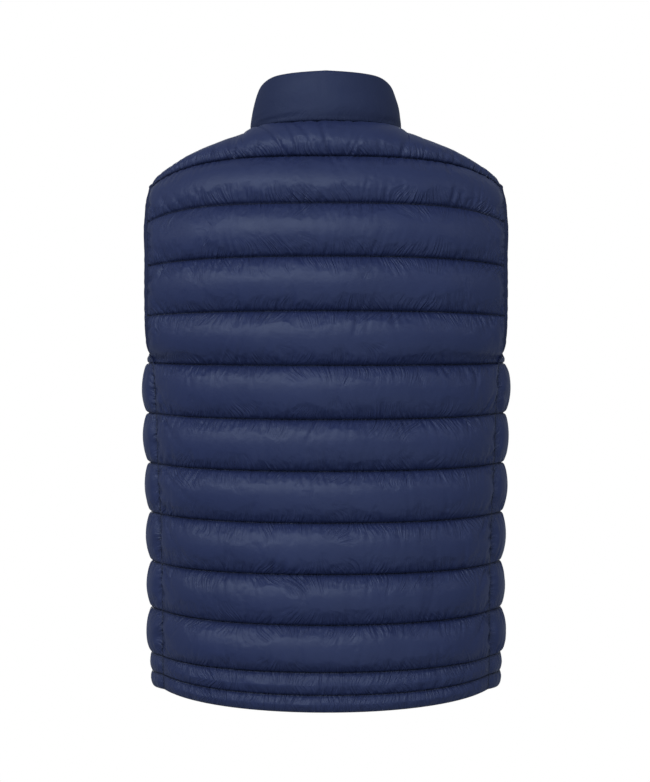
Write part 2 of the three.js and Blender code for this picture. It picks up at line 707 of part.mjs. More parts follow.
const cloth = (colour, roughness) => new THREE.MeshStandardMaterial({ color: colour, roughness, metalness: 0 });
const SHELL_CLOTH = cloth(0x2b3558, 0.55);
const COLLAR_CLOTH = cloth(0x283050, 0.6);
const BINDING_TAPE = cloth(0x232a47, 0.8);
const ZIP_TAPE = cloth(0x1c2239, 0.7);
const ZIP_METAL = new THREE.MeshStandardMaterial({ color: 0x20263c, roughness: 0.35, metalness: 0.8 });

function named(name, geometry, material) {
  const mesh = new THREE.Mesh(geometry, material);
  mesh.name = name;
  return mesh;
}

const vest = new THREE.Group();
vest.add(named("back_panel", backPanel(), SHELL_CLOTH));
vest.add(named("front_panel_left", frontPanel(1), SHELL_CLOTH));
vest.add(named("front_panel_right", frontPanel(-1), SHELL_CLOTH));
vest.add(named("collar", collarBand(), COLLAR_CLOTH));
vest.add(named("armhole_binding_left", armholeBinding(1), BINDING_TAPE));
vest.add(named("armhole_binding_right", armholeBinding(-1), BINDING_TAPE));
vest.add(named("zip_chain", zipBand(), ZIP_TAPE));

// The slider is closed up to the collar's rim, and the pull hangs straight down from it.
const zipFace = ZIP.thickness / 2 + SEAM_GAP;
const slider = new THREE.Group();
const frontRim = rimRing(180);
const pullAxisY = frontRim.y - EDGE_RISE - zipFace - SLIDER.depth - SLIDER.bridgeRise / 2;
slider.position.set(0, pullAxisY, frontRim.z - SLIDER.belowRim);
slider.add(named("zip_slider", sliderBody(), ZIP_METAL));
slider.add(named("zip_pull", pullTab(), ZIP_METAL));
vest.add(slider);

export default vest;
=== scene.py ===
"""The looks of the quilted vest, laid out as an add-on and run as a script.

The panels follow the same sections as the part's solids. The crowns of their channels and the puckers along
their stitch lines are worked out in code, and the small pieces are laid on the same stitched surfaces.
"""

import math

import bpy
import numpy as np
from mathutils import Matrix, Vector


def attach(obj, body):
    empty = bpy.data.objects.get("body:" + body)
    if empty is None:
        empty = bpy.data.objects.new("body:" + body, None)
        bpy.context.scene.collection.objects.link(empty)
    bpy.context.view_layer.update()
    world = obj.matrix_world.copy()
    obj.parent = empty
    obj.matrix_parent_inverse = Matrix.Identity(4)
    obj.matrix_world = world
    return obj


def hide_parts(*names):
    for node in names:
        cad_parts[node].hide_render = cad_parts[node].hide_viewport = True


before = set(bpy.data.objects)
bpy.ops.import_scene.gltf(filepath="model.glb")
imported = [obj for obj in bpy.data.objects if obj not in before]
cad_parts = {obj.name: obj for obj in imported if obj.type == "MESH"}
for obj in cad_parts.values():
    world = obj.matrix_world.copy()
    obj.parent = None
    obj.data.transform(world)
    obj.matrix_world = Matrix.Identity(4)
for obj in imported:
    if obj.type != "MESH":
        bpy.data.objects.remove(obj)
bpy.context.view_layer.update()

bl_info = {
    "name": "Quilted vest",
    "version": (1, 0, 0),
    "blender": (4, 5, 0),
    "location": "View3D > Sidebar > Vest",
    "description": "Builds the quilted vest's cloth, trims and studio around its frame",
    "category": "Object",
}

MM = 0.001
SEED = 7

# The part's own sizes, in millimetres.
SEAM_GAP = 0.3
WALL = 2.2
EDGE_RISE = 0.5
NECK = {"half_width": 87, "half_depth": 77, "centre_y": -11, "seam_angle": 95}
COLLAR = {"half_width": 76.5, "half_depth": 72, "centre_y": -12, "lift": 0.45, "fullness": 1.6}
SHOULDER = {
    "tip": (200, -18, -63.5),
    "slope_power": 1.1,
    "corner_share": 0.4,
    "over_nape": 24,
    "over_shoulder": 70,
    "arch": 3,
}
BODY = {"half_width": 207, "half_depth": 131, "last_line": 9.6}
ZIP = {"half_width": 6, "thickness": 2.6}
TOP_LINE = 13  # the shoulder seams; the stitch lines are counted up from the hem at 0
LAST_SECTION = TOP_LINE - 1
HEM_LINES = 2  # the channels below this line are the hem's narrow ones
UNDERARM_LINE = 8.12
NECK_LINE = 11.64
ACROSS = np.array([1.0, 0, 0])  # the direction to the wearer's left


def table(columns, rows):
    """A table as one array for each named column."""
    return dict(zip(columns.split(), np.array(rows, float).T))


BACK_SECTIONS = table(
    "line inner_y inner_z edge_x edge_y edge_z arc bow",
    [
        [0, 128, -657, 185, 47, -645, 67, 2.1],
        [1, 128, -638, 186, 48, -628, 67, 2.2],
        [2, 128, -612.5, 186.5, 48, -607, 67, 2.4],
        [3, 128, -560.5, 186.5, 48, -555, 67, 2.4],
        [4, 127, -504.5, 187.5, 48, -501, 68, 2.4],
        [5, 126, -447.5, 189, 48, -444, 68, 2.4],
        [6, 126, -390, 192, 48, -386.5, 69, 2.4],
        [7, 128, -332.5, 194, 46, -329, 69, 2.4],
        [8, 131, -272.5, 198.5, 41, -271, 71, 2.4],
        [8.12, 131.5, -265, 199.5, 40.5, -267, 70, 2.4],
        [8.36, 132, -251, 201.5, 51, -260, 64, 2.4],
        [8.64, 132.5, -234, 202.8, 60, -243, 58, 2.4],
        [9, 133, -212, 203.3, 64, -217, 54, 2.6],
        [10, 131.5, -151.5, 203, 62, -160, 50, 3],
        [11, 122, -92, 205, 47, -109.5, 50, 4],
        [11.5, 111.3, -64.7, 205, 31.5, -86.5, 52.25, 3.6],
        [12, 98, -38, 203, 13, -67, 56, 3.2],
    ],
)
FRONT_SECTIONS = table(
    "line inner_y inner_z edge_x edge_y edge_z arc bow",
    [
        [0, -126, -650, 185, 47, -645, 113, 2.4],
        [1, -127, -631.5, 186, 48, -628, 113, 2.4],
        [2, -128, -607, 186.5, 48, -607, 113, 2.4],
        [3, -129, -555, 186.5, 48, -555, 113, 2.4],
        [4, -129, -501, 187.5, 48, -501, 112, 2.4],
        [5, -128, -444, 189, 48, -444, 112, 2.4],
        [6, -128, -387, 192, 48, -386.5, 111, 2.4],
        [7, -130, -329.5, 194, 46, -329, 111, 2.4],
        [8, -133, -272, 198.5, 41, -271, 107, 2.4],
        [8.12, -133.5, -265, 199.5, 40.5, -267, 106, 2.4],
        [8.36, -134, -251, 203.8, 14, -263, 95, 4],
        [8.64, -134, -234, 204, -15, -245.5, 82, 4],
        [9, -134, -213, 203, -43, -219, 71, 3],
        [10, -130, -155, 199, -57, -160, 64, 2.6],
        [11, -113, -99, 201, -48, -108, 60, 2.6],
        [11.64, -88, -67, 202, -37.5, -84, 56, 2.2],
        [12, -67, -44, 202, -29, -73.5, 46, 1.7],
    ],
)
NECKLINE = table(
    "angle z rim_z",
    [[0, 4, 63], [45, 2.8, 60], [90, -4, 45], [120, -25, 25], [150, -55, 4], [180, -67.5, -7]],
)
NECK_ANGLES = table("line angle", [[11.64, 175.8], [12, 137], [13, 95]])


def smoothstep(low, high, value):
    """0 below low, 1 above high, and an S-shaped cubic between them."""
    share = np.clip((value - low) / (high - low), 0, 1)
    return share * share * (3 - 2 * share)


def mix(a, b, share):
    """The value that lies share of the way from a to b."""
    return a + (b - a) * share


def vector(x, y, z):
    """Three arrays as one array of points."""
    return np.stack(np.broadcast_arrays(x, y, z), -1)


def unit(v):
    """Vectors brought to length 1."""
    return v / np.maximum(np.linalg.norm(v, axis=-1, keepdims=True), 1e-9)


def along(source, column, at):
    """A column between its rows: a cubic through the values. Its slopes are harmonic means, so that it
    never overshoots."""
    x, y = next(iter(source.values())), source[column]
    slopes = np.diff(y) / np.diff(x)
    before, after = slopes[:-1], slopes[1:]
    total = np.where(before + after == 0, 1, before + after)
    means = np.where(before * after > 0, 2 * before * after / total, 0)
    tangents = np.concatenate([slopes[:1], means, slopes[-1:]])
    k = np.clip(np.searchsorted(x, at, side="right") - 1, 0, len(x) - 2)
    step = x[k + 1] - x[k]
    s = np.clip((at - x[k]) / step, 0, 1)
    return (
        (2 * s**3 - 3 * s**2 + 1) * y[k]
        + (s**3 - 2 * s**2 + s) * step * tangents[k]
        + (3 * s**2 - 2 * s**3) * y[k + 1]
        + (s**3 - s**2) * step * tangents[k + 1]
    )


def neck_ring(angle):
    """The neck seam: an ellipse in plan by its angle from the centre back, dipping to the front."""
    turn = np.radians(angle)
    return vector(
        NECK["half_width"] * np.sin(turn),
        NECK["centre_y"] + NECK["half_depth"] * np.cos(turn),
        along(NECKLINE, "z", np.abs(angle)),
    )


def rim_ring(angle):
    """The collar's rim: a smaller ellipse above the neck seam."""
    turn = np.radians(angle)
    return vector(
        COLLAR["half_width"] * np.sin(turn),
        COLLAR["centre_y"] + COLLAR["half_depth"] * np.cos(turn),
        along(NECKLINE, "rim_z", np.abs(angle)),
    )


def section_point(source, inner, line, share):
    """A point on a section: x = edge x sin(turn) / sin(arc), y follows the cosine of the same turn, and z
    drops from the inner point to the edge with a power of share."""
    columns = ("edge_x", "edge_y", "edge_z", "arc", "bow")
    edge_x, edge_y, edge_z, arc, bow = (along(source, name, line) for name in columns)
    last = np.radians(arc)
    first = np.arcsin(inner[..., 0] * np.sin(last) / edge_x)
    turn = mix(first, last, share)
    roundness = (np.cos(turn) - np.cos(last)) / (np.cos(first) - np.cos(last))
    return vector(
        edge_x * np.sin(turn) / np.sin(last),
        mix(edge_y, inner[..., 1], roundness),
        mix(inner[..., 2], edge_z, share**bow),
    )


def shoulder_seam(out):
    """The shoulder seam from the neck at 0 to its tip at 1: straight in plan, and curved downwards by a
    power."""
    corner, tip = neck_ring(NECK["seam_angle"]), np.array(SHOULDER["tip"], float)
    return vector(
        mix(corner[0], tip[0], out),
        mix(corner[1], tip[1], out),
        mix(corner[2], tip[2], np.clip(out, 0, 1) ** SHOULDER["slope_power"]),
    )


def back_surface(side, line):
    """The back's stitched surface: side from -1 to 1 across, line the height in stitch lines. Above line 12
    it turns over the shoulder by a circular law between the last section and the top edge."""
    share, up = np.abs(side), np.clip(line - LAST_SECTION, 0, 1)
    low_line = np.minimum(line, LAST_SECTION)
    middle_y, middle_z = (along(BACK_SECTIONS, name, low_line) for name in ("inner_y", "inner_z"))
    inner = vector(0 * share, middle_y, middle_z)
    low = section_point(BACK_SECTIONS, inner, low_line, share)
    corner = SHOULDER["corner_share"]
    high = np.where(
        (share <= corner)[..., None],
        neck_ring(NECK["seam_angle"] * np.minimum(share, corner) / corner),
        shoulder_seam((share - corner) / (1 - corner)),
    )
    turn = np.radians(mix(SHOULDER["over_nape"], SHOULDER["over_shoulder"], smoothstep(0, corner, share)))
    forward = (1 - np.cos(up * turn)) / (1 - np.cos(turn))
    rise = np.sin(up * turn) / np.sin(turn)
    arch = SHOULDER["arch"] * np.sin(np.pi * up) * smoothstep(corner, 1, share)
    point = vector(
        mix(low[..., 0], high[..., 0], up),
        mix(low[..., 1], high[..., 1], forward),
        mix(low[..., 2], high[..., 2], rise) + arch,
    )
    point[..., 0] *= np.sign(side)
    return point


def front_surface(share, line):
    """A front's stitched surface for the wearer's left: share 0 at the zip or the neckline, 1 at the outer
    edge."""
    share, line = np.broadcast_arrays(np.asarray(share, float), np.asarray(line, float))
    low_line, up = np.minimum(line, LAST_SECTION), np.clip(line - LAST_SECTION, 0, 1)

    def inner_edge(at):
        zip_edge = vector(
            ZIP["half_width"] + SEAM_GAP + 0 * at,
            along(FRONT_SECTIONS, "inner_y", at),
            along(FRONT_SECTIONS, "inner_z", at),
        )
        return np.where((at > NECK_LINE)[..., None], neck_ring(along(NECK_ANGLES, "angle", at)), zip_edge)

    low = section_point(FRONT_SECTIONS, inner_edge(low_line), low_line, share)
    top = np.full_like(line, LAST_SECTION)
    chord = mix(inner_edge(top), shoulder_seam(0 * share), up[..., None])
    bend = inner_edge(np.maximum(line, LAST_SECTION)) - chord
    point = mix(low, shoulder_seam(share), up[..., None]) + bend * ((1 - share) ** 2)[..., None]
    point[..., 2] += SHOULDER["arch"] * np.sin(np.pi * up) * smoothstep(0, 1, share)
    return point


def grid_normals(points, outward):
    """The unit normals of a grid of points, from the cross product of its two differences."""
    across, up = np.gradient(points, axis=1), np.gradient(points, axis=0)
    return outward * unit(np.cross(across, up))


def panel_normals(points, line, outward):
    """A panel's normals: those of the round body up to the armholes' lower half, and the panel's own
    above."""
    x, y = points[..., 0], points[..., 1]
    body = unit(vector(x / BODY["half_width"] ** 2, y / BODY["half_depth"] ** 2, 0))
    upper = smoothstep(BODY["last_line"] - 1, BODY["last_line"], line)
    return unit(mix(body, grid_normals(points, outward), upper[..., None]))


def wander(rng, shape, spans):
    """A smooth random field between -1 and 1: noise on a coarse grid, each axis with its own span in
    points, enlarged by cubic-weighted steps."""
    rows, columns = shape
    height, width = (max(4, int(n / span) + 3) for n, span in zip(shape, spans))
    coarse = rng.uniform(-1, 1, (height, width))

    def spread(values, count, axis):
        at = np.linspace(0, values.shape[axis] - 1.001, count)
        k = at.astype(int)
        t = at - k
        t = t * t * (3 - 2 * t)
        t = t[:, None] if axis == 0 else t[None, :]
        return mix(np.take(values, k, axis), np.take(values, k + 1, axis), t)

    return spread(spread(coarse, rows, 0), columns, 1)


# Panels

CHANNEL_ROWS = {"hem": 8, "body": 21}
ROW_CROWDING = 0.6  # how much closer together the rows lie beside a stitch line
INSIDE_GRID = {"rows": 53, "columns": 41}
INSIDE_SHIFT = (0.002, 0.1)  # metres added to the distances from the seams, which show less on the inside: weaker creases and less painted shade
CROWN_WANDER = {"broad": (15, 50), "narrow": (10, 17), "narrow_share": 0.5}  # spans in rows and columns
UNDERARM_CALM = {"depth": 0.85, "lines": (8.2, 8.9)}
GROOVE = {"channel": 55, "width": 1.1, "edge_fade": 4}
PUCKERS_IN_FULL = 2.2  # the crown's height from which the puckers have their full depth
DEEPEST_DIP = 0.3
BORDER_START = 0.5  # added to the distance at the hem and the top, where puckers are open at the edge
PLEAT = {"root_width": 0.75, "widening": 0.7, "rooting": 0.9}
LINE_ROWS = {
    "hem": {"spacing": 3.1, "shortest": 4.5, "longest": 8},
    "body": {"spacing": 3.1, "shortest": 4.5, "longest": 22},
}
SCATTER = {
    "crowd_places": 14,
    "least_kept": 0.35,
    "crowd_gain": 0.9,
    "lean_places": 9,
    "lean": 0.5,
    "lean_noise": 0.12,
    "shortness": 2.4,
    "width": (1.4, 2.8),
    "depth": (0.42, 0.8),
    "width_noise": (0.8, 1.25),
    "depth_noise": (0.5, 1.2),
}
PLACED_NOISE = {"size": (0.75, 1.25), "lean": 0.08}

# The gathers beside a panel's side edges: a sparse row of long ones and a close row of short ones.
EDGE_REACH = 34
EDGE_ROWS = (
    {"margin": 4, "spacing": 8.5, "shortest": 9, "longest": 26, "gain": 2.2},
    {"margin": 2, "spacing": 7.0, "shortest": 6, "longest": 11, "gain": 3.0},
)
EDGE_SHAPE = {"widening": 2.0, "lean": 0.6, "fan": 0.9}

# The puckers that show most clearly on the back. line is the stitch line they start from, away is 1 above
# it and -1 below it, x is the group's middle and spread its half width along the cloth, and lean is how far
# they slant for each millimetre away from the line. Lengths, widths and depths are in millimetres.
BACK_PUCKERS = table(
    "line away x spread count length width depth lean",
    [
        [12, 1, 42, 2, 1, 62, 4.0, 2.1, 0.6],
        [12, 1, 26, 3, 1, 40, 3.2, 1.5, 0.35],
        [12, 1, 8, 2, 1, 60, 3.6, 2.0, 0.45],
        [12, 1, -7, 2, 1, 52, 3.4, 1.7, 0.35],
        [12, 1, -20, 7, 2, 22, 2.8, 1.0, -0.5],
        [12, 1, 98, 16, 3, 44, 3.8, 1.6, 0.1],
        [12, 1, -95, 16, 3, 30, 3.2, 1.1, -0.3],
        [12, -1, 52, 14, 3, 24, 3.4, 1.0, 0.15],
        [12, -1, -6, 8, 2, 24, 3.4, 1.0, -0.35],
        [11, 1, 40, 42, 9, 11, 2.4, 0.55, -0.2],
        [11, 1, 68, 8, 2, 26, 3.0, 0.7, -0.05],
        [11, 1, -175, 6, 2, 22, 2.8, 1.0, 0.02],
        [11, 1, -150, 20, 6, 13, 2.6, 0.8, -0.3],
        [11, 1, -192, 8, 3, 15, 2.8, 0.8, -0.6],
        [11, 1, 165, 26, 6, 18, 3.0, 0.8, 0.7],
        [11, -1, 60, 60, 10, 9, 2.4, 0.45, 0.15],
        [11, -1, -182, 12, 3, 24, 4.2, 1.0, -0.7],
        [10, 1, -82, 30, 9, 17, 2.6, 0.8, -0.45],
        [10, 1, 95, 34, 7, 12, 2.6, 0.6, 0.5],
        [10, 1, 190, 12, 4, 20, 3.4, 1.0, 0.6],
        [10, -1, 195, 10, 3, 20, 3.6, 1.0, 0.5],
        [10, -1, -10, 40, 9, 10, 2.2, 0.4, 0.2],
        [9, 1, 185, 16, 4, 20, 3.6, 1.1, 0.9],
        [9, -1, -203, 4, 2, 30, 5.0, 1.6, 1.1],
        [9, 1, -60, 60, 10, 11, 2.4, 0.5, -0.3],
        [9, -1, 110, 34, 8, 18, 2.8, 0.75, 0.55],
        [8, 1, 88, 52, 12, 22, 3.0, 0.85, -0.42],
        [8, 1, -30, 40, 8, 12, 2.4, 0.55, 0.3],
        [8, -1, 150, 18, 5, 19, 2.8, 0.8, 0.6],
        [8, -1, -180, 5, 2, 26, 3.6, 1.2, 0.3],
        [7, 1, -204, 2, 1, 44, 6.5, 2.2, -0.75],
        [7, 1, -190, 6, 2, 24, 4.0, 1.2, -0.7],
        [7, -1, -165, 14, 4, 26, 4.0, 1.0, -0.9],
        [7, 1, 185, 10, 3, 22, 3.8, 1.1, 0.8],
        [8, -1, -150, 30, 8, 20, 2.8, 0.8, -0.55],
        [7, 1, 60, 70, 12, 10, 2.4, 0.5, -0.2],
        [7, -1, 120, 46, 8, 15, 2.6, 0.6, 0.45],
        [7, -1, -120, 46, 8, 16, 2.6, 0.6, -0.4],
        [6, 1, -60, 60, 9, 12, 2.6, 0.5, 0.25],
        [6, -1, 20, 80, 11, 12, 2.4, 0.5, -0.2],
        [5, 1, 90, 50, 8, 15, 2.6, 0.65, -0.35],
        [5, -1, -110, 50, 8, 15, 2.6, 0.6, -0.4],
        [4, 1, -40, 60, 9, 13, 2.6, 0.5, 0.25],
        [3, 1, 50, 70, 9, 14, 2.6, 0.6, -0.3],
        [7, -1, 207, 4, 2, 24, 4.0, 1.3, -1.2],
        [6, -1, 207, 5, 2, 28, 4.0, 1.4, -1.4],
        [5, -1, 206, 5, 2, 26, 4.0, 1.4, -1.1],
        [4, -1, 205, 5, 2, 24, 3.6, 1.2, -1.0],
        [5, 1, 204, 6, 2, 16, 3.0, 1.0, -0.8],
        [6, 1, 205, 6, 2, 14, 3.0, 1.0, -0.7],
        [5, -1, -206, 5, 2, 24, 3.8, 1.3, 1.2],
        [4, -1, -205, 5, 2, 26, 3.8, 1.3, 1.0],
        [3, -1, -204, 6, 2, 24, 3.8, 1.3, 1.1],
        [6, 1, -205, 5, 2, 20, 3.4, 1.1, 0.8],
        [2, -1, 30, 170, 12, 10, 2.2, 0.9, 0.9],
        [1, 1, -20, 60, 6, 13, 2.6, 1.2, -0.95],
        [1, 1, -125, 60, 6, 13, 2.6, 1.1, -1.0],
        [1, 1, 120, 60, 5, 12, 2.6, 1.0, -0.7],
        [1, -1, 90, 60, 5, 13, 2.4, 1.1, -0.9],
        [1, -1, -40, 60, 5, 13, 2.4, 1.1, -1.0],
        [2, 1, -90, 60, 9, 13, 2.6, 0.6, 0.3],
        [2, 1, 110, 50, 8, 15, 2.6, 0.7, -0.35],
    ],
)

# The two kinds of panel. shares are its first and last place across, width and upper_width turn a share
# into millimetres below and above the underarm, side_fade and calm say where a channel gets flatter, and an
# edge is a column of the grid with the strength of its gathers.
BACK = {
    "surface": back_surface,
    "outward": -1.0,
    "shares": (-1, 1),
    "columns": 391,
    "width": 225,
    "upper_width": (225, 225),
    "side_fade": (0.6, 0.93),
    "calm": (0.75, 1),
    "edges": ((-1, 1.0), (0, 1.0)),
    "groups": BACK_PUCKERS,
}
FRONT = {
    "surface": front_surface,
    "outward": 1.0,
    "shares": (0, 1),
    "columns": 289,
    "width": 330,
    "upper_width": (230, 130),
    "side_fade": (0.45, 0.75),
    "calm": (0.5, 0.85),
    "edges": ((-1, 1.0), (0, 0.6)),
    "groups": None,
}
PANELS = (
    ("back_panel", BACK, 1, SEED),
    ("front_panel_left", FRONT, 1, SEED + 1),
    ("front_panel_right", FRONT, -1, SEED + 2),
)


def panel_lines():
    """The grid's rows in stitch lines: each channel's rows lie closer together beside its stitching."""
    rows = []
    for line in range(TOP_LINE):
        count = CHANNEL_ROWS["hem" if line < HEM_LINES else "body"]
        k = np.arange(count) / count
        rows.append(line + k - ROW_CROWDING * np.sin(2 * np.pi * k) / (2 * np.pi))
    return np.unique(np.concatenate([*rows, [UNDERARM_LINE, NECK_LINE, TOP_LINE]]))


def side_fullness(panel, line, share, sizes):
    """A share of the crown's height: less beside the side seams, and little beside the armhole's lowest
    part."""
    below = (1 - smoothstep(*UNDERARM_CALM["lines"], line)) * (line >= int(UNDERARM_LINE))
    calm = UNDERARM_CALM["depth"] * below * smoothstep(*panel["calm"], share)
    return mix(1, sizes.side_share, smoothstep(*panel["side_fade"], share)) * (1 - calm)


def quilting(line, edge_distance, side_share, sizes):
    """The crown's height above the stitched surface: rise times sin(pi x place in the channel) to a power
    below 1, fading beside a seam by 1 - exp(-distance / tuck)."""
    upper = np.where(line < LAST_SECTION, sizes.body_rise, sizes.shoulder_rise)
    rise = np.where(line < HEM_LINES, sizes.hem_rise, upper) / MM
    full = np.clip(np.sin(np.pi * (line % 1)), 0, 1) ** sizes.roundness
    seam = 1 - np.exp(-np.maximum(edge_distance, 0) / (sizes.seam_tuck / MM))
    return rise * full * seam * side_share


def puckers(across, away, pleat):
    """The sum of soft pleats. Each is depth x (1 - q squared) x exp(-q squared), a trough between two low
    ridges, where q is the distance from its leaning middle line over its width. It widens away from its
    seam, opens by 1 - exp(-away / rooting) and fades by exp(-(away / length) squared)."""
    reach = away[..., None] / pleat["length"]
    width = pleat["width"] * (PLEAT["root_width"] + PLEAT["widening"] * reach)
    q = (across[..., None] - pleat["x"] - pleat["lean"] * away[..., None]) / width
    fade = (1 - np.exp(-away / PLEAT["rooting"]))[..., None] * np.exp(-(reach**2))
    bell = np.exp(-(q**2))
    return -(pleat["depth"] * (1 - q**2) * bell * fade).sum(-1)


def scatter(rng, low, high, row, gain):
    """Random pleats between two places, with a row's spacing and lengths: crowded in some stretches and
    sparse in others, most of them short, leaning by a direction that wanders along the seam."""

    def stretches(count, least, most):
        return np.interp(places, np.linspace(low, high, count), rng.uniform(least, most, count))

    count = max(2, int((high - low) / row["spacing"]))
    places = np.sort(rng.uniform(low, high, count))
    crowd = stretches(SCATTER["crowd_places"], 0, 1)
    places = places[rng.uniform(0, 1, count) < SCATTER["least_kept"] + SCATTER["crowd_gain"] * crowd]
    count = len(places)
    size = rng.uniform(0, 1, count)
    lean = stretches(SCATTER["lean_places"], -SCATTER["lean"], SCATTER["lean"])
    return {
        "x": places,
        "lean": lean + rng.normal(0, SCATTER["lean_noise"], count),
        "length": mix(row["shortest"], row["longest"], size ** SCATTER["shortness"]),
        "width": mix(*SCATTER["width"], size) * rng.uniform(*SCATTER["width_noise"], count),
        "depth": gain * mix(*SCATTER["depth"], size) * rng.uniform(*SCATTER["depth_noise"], count),
    }


def join(*groups):
    """Several sets of pleats as one."""
    return {name: np.concatenate([group[name] for group in groups]) for name in groups[0]}


def placed(rng, row):
    """One row of the table of puckers as single pleats, spread over its width and a little uneven."""
    count = int(row["count"])
    uneven = rng.uniform(*PLACED_NOISE["size"], (3, count))
    return {
        "x": row["x"] + row["spread"] * np.sort(rng.uniform(-1, 1, count)),
        "length": row["length"] * uneven[0],
        "width": row["width"] * uneven[1],
        "depth": row["depth"] * uneven[2],
        "lean": row["lean"] + rng.normal(0, PLACED_NOISE["lean"], count),
    }


def placed_beside(rng, groups, seam, away):
    """The groups of a table of puckers that stand on one side of a stitch line."""
    if groups is None:
        return []
    picked = np.flatnonzero((groups["line"] == seam) & (groups["away"] == away))
    return [placed(rng, {name: values[i] for name, values in groups.items()}) for i in picked]


def edge_pleats(rng, low, high, gain):
    """The gathers beside one channel's side edge, fanning out from the channel's middle."""
    rows = []
    for row in EDGE_ROWS:
        rows.append(scatter(rng, low + row["margin"], high - row["margin"], row, row["gain"] * gain))
    pleats = join(*rows)
    fan = EDGE_SHAPE["fan"] * (pleats["x"] - (low + high) / 2) / (high - low)
    pleats["width"] = pleats["width"] * EDGE_SHAPE["widening"]
    pleats["lean"] = pleats["lean"] * EDGE_SHAPE["lean"] + fan
    return pleats


def gathered(panel, line, across, up, rng, sizes):
    """The puckers' height over a whole panel: pleats on both sides of each stitch line, and beside each
    side edge of the panel, as its cloth is gathered to the seam's length."""
    height = np.zeros(line.shape)
    for seam in range(TOP_LINE + 1):
        middle = np.argmin(np.abs(line[:, 0] - seam))
        for away in (1, -1):
            channel = seam if away > 0 else seam - 1
            if not 0 <= channel < TOP_LINE:
                continue
            rows = np.flatnonzero((line[:, 0] >= channel) & (line[:, 0] <= channel + 1))
            distance = np.abs(up[rows] - up[middle])
            if seam in (0, TOP_LINE):
                distance = distance + BORDER_START
            row = LINE_ROWS["hem" if channel < HEM_LINES else "body"]
            scattered = scatter(rng, across[middle, 0], across[middle, -1], row, sizes.pucker_gain)
            pleats = join(scattered, *placed_beside(rng, panel["groups"], seam, away))
            height[rows] += puckers(across[rows], distance, pleats)
    for column, gain in panel["edges"]:
        distance = np.abs(across - across[:, [column]])
        near = np.flatnonzero(distance[len(distance) // 2] < EDGE_REACH)
        for channel in range(HEM_LINES, TOP_LINE):
            rows = np.flatnonzero((line[:, 0] > channel) & (line[:, 0] < channel + 1))
            patch = np.ix_(rows, near)
            low, high = up[rows[0], near[0]], up[rows[-1], near[0]]
            pleats = edge_pleats(rng, low, high, gain * sizes.pucker_gain)
            height[patch] += puckers(up[patch], distance[patch], pleats)
    return height


def quilted_panel(panel, side, seed, sizes):
    """A panel's outer grid, its stitched surface, its normals, its rows in stitch lines and the distance to
    its nearest edge. The crowns' height wanders a little, and the puckers are pressed flat on the stitch
    lines and the panel's borders."""
    first, last = panel["shares"]
    line, across = np.meshgrid(panel_lines(), np.linspace(first, last, panel["columns"]), indexing="ij")
    stitched = panel["surface"](across, line)
    normals = panel_normals(stitched, line, panel["outward"])
    upper = mix(*panel["upper_width"], smoothstep(UNDERARM_LINE, TOP_LINE, line))
    width = np.where(line < UNDERARM_LINE, panel["width"], upper)
    edge = np.minimum(across - first, last - across) * width
    rng = np.random.default_rng(seed)
    rise = quilting(line, edge, side_fullness(panel, line, np.abs(across), sizes), sizes)
    broad, narrow = (wander(rng, line.shape, CROWN_WANDER[name]) for name in ("broad", "narrow"))
    height = rise * (1 + sizes.unevenness * (broad + CROWN_WANDER["narrow_share"] * narrow))
    out, up = (distance / MM for distance in cloth_map(stitched))
    pressed = np.clip(rise / PUCKERS_IN_FULL, 0, 1)
    height = height + gathered(panel, line, out, up, rng, sizes) * pressed
    off_line = np.abs(line - np.round(line)) * GROOVE["channel"] / GROOVE["width"]
    groove = sizes.groove / MM * np.exp(-(off_line**2)) * np.clip(edge / GROOVE["edge_fade"], 0, 1)
    groove = np.where((line > 0.5) & (line < TOP_LINE - 0.5), groove, 0)
    outer = stitched + normals * (EDGE_RISE - groove + np.maximum(height, -DEEPEST_DIP))[..., None]
    mirror = np.array([side, 1, 1])
    return outer * mirror, stitched * mirror, normals * mirror, line, edge


def cloth_map(stitched):
    """Distances along the cloth in metres: across from the middle column, and up from the hem."""
    across = np.zeros(stitched.shape[:2])
    across[:, 1:] = np.cumsum(np.linalg.norm(np.diff(stitched, axis=1), axis=-1), axis=1)
    across -= across[:, [stitched.shape[1] // 2]]
    up = np.zeros(stitched.shape[:2])
    up[1:] = np.cumsum(np.linalg.norm(np.diff(stitched, axis=0), axis=-1), axis=0)
    return across * MM, up * MM


def lengths_along(points):
    """The distance to each point of a line along it."""
    return np.concatenate([[0], np.cumsum(np.linalg.norm(np.diff(points, axis=0), axis=-1))])


def resample(values, places, at):
    """Rows of values at other places along their line."""
    return np.stack([np.interp(at, places, column) for column in values.T], -1)


def border_of(rows, columns):
    """The vertices on the four sides of a grid, in one loop."""
    top, last = rows - 1, columns - 1
    index = np.arange(rows * columns).reshape(rows, columns)
    return [index[0], index[:, last], index[top, ::-1], index[::-1, 0]]


def grid_faces(rows, columns, offset=0):
    """The quads of a grid of vertices."""
    index = np.arange(rows * columns).reshape(rows, columns) + offset
    return np.stack([index[:-1, :-1], index[:-1, 1:], index[1:, 1:], index[1:, :-1]], -1).reshape(-1, 4)


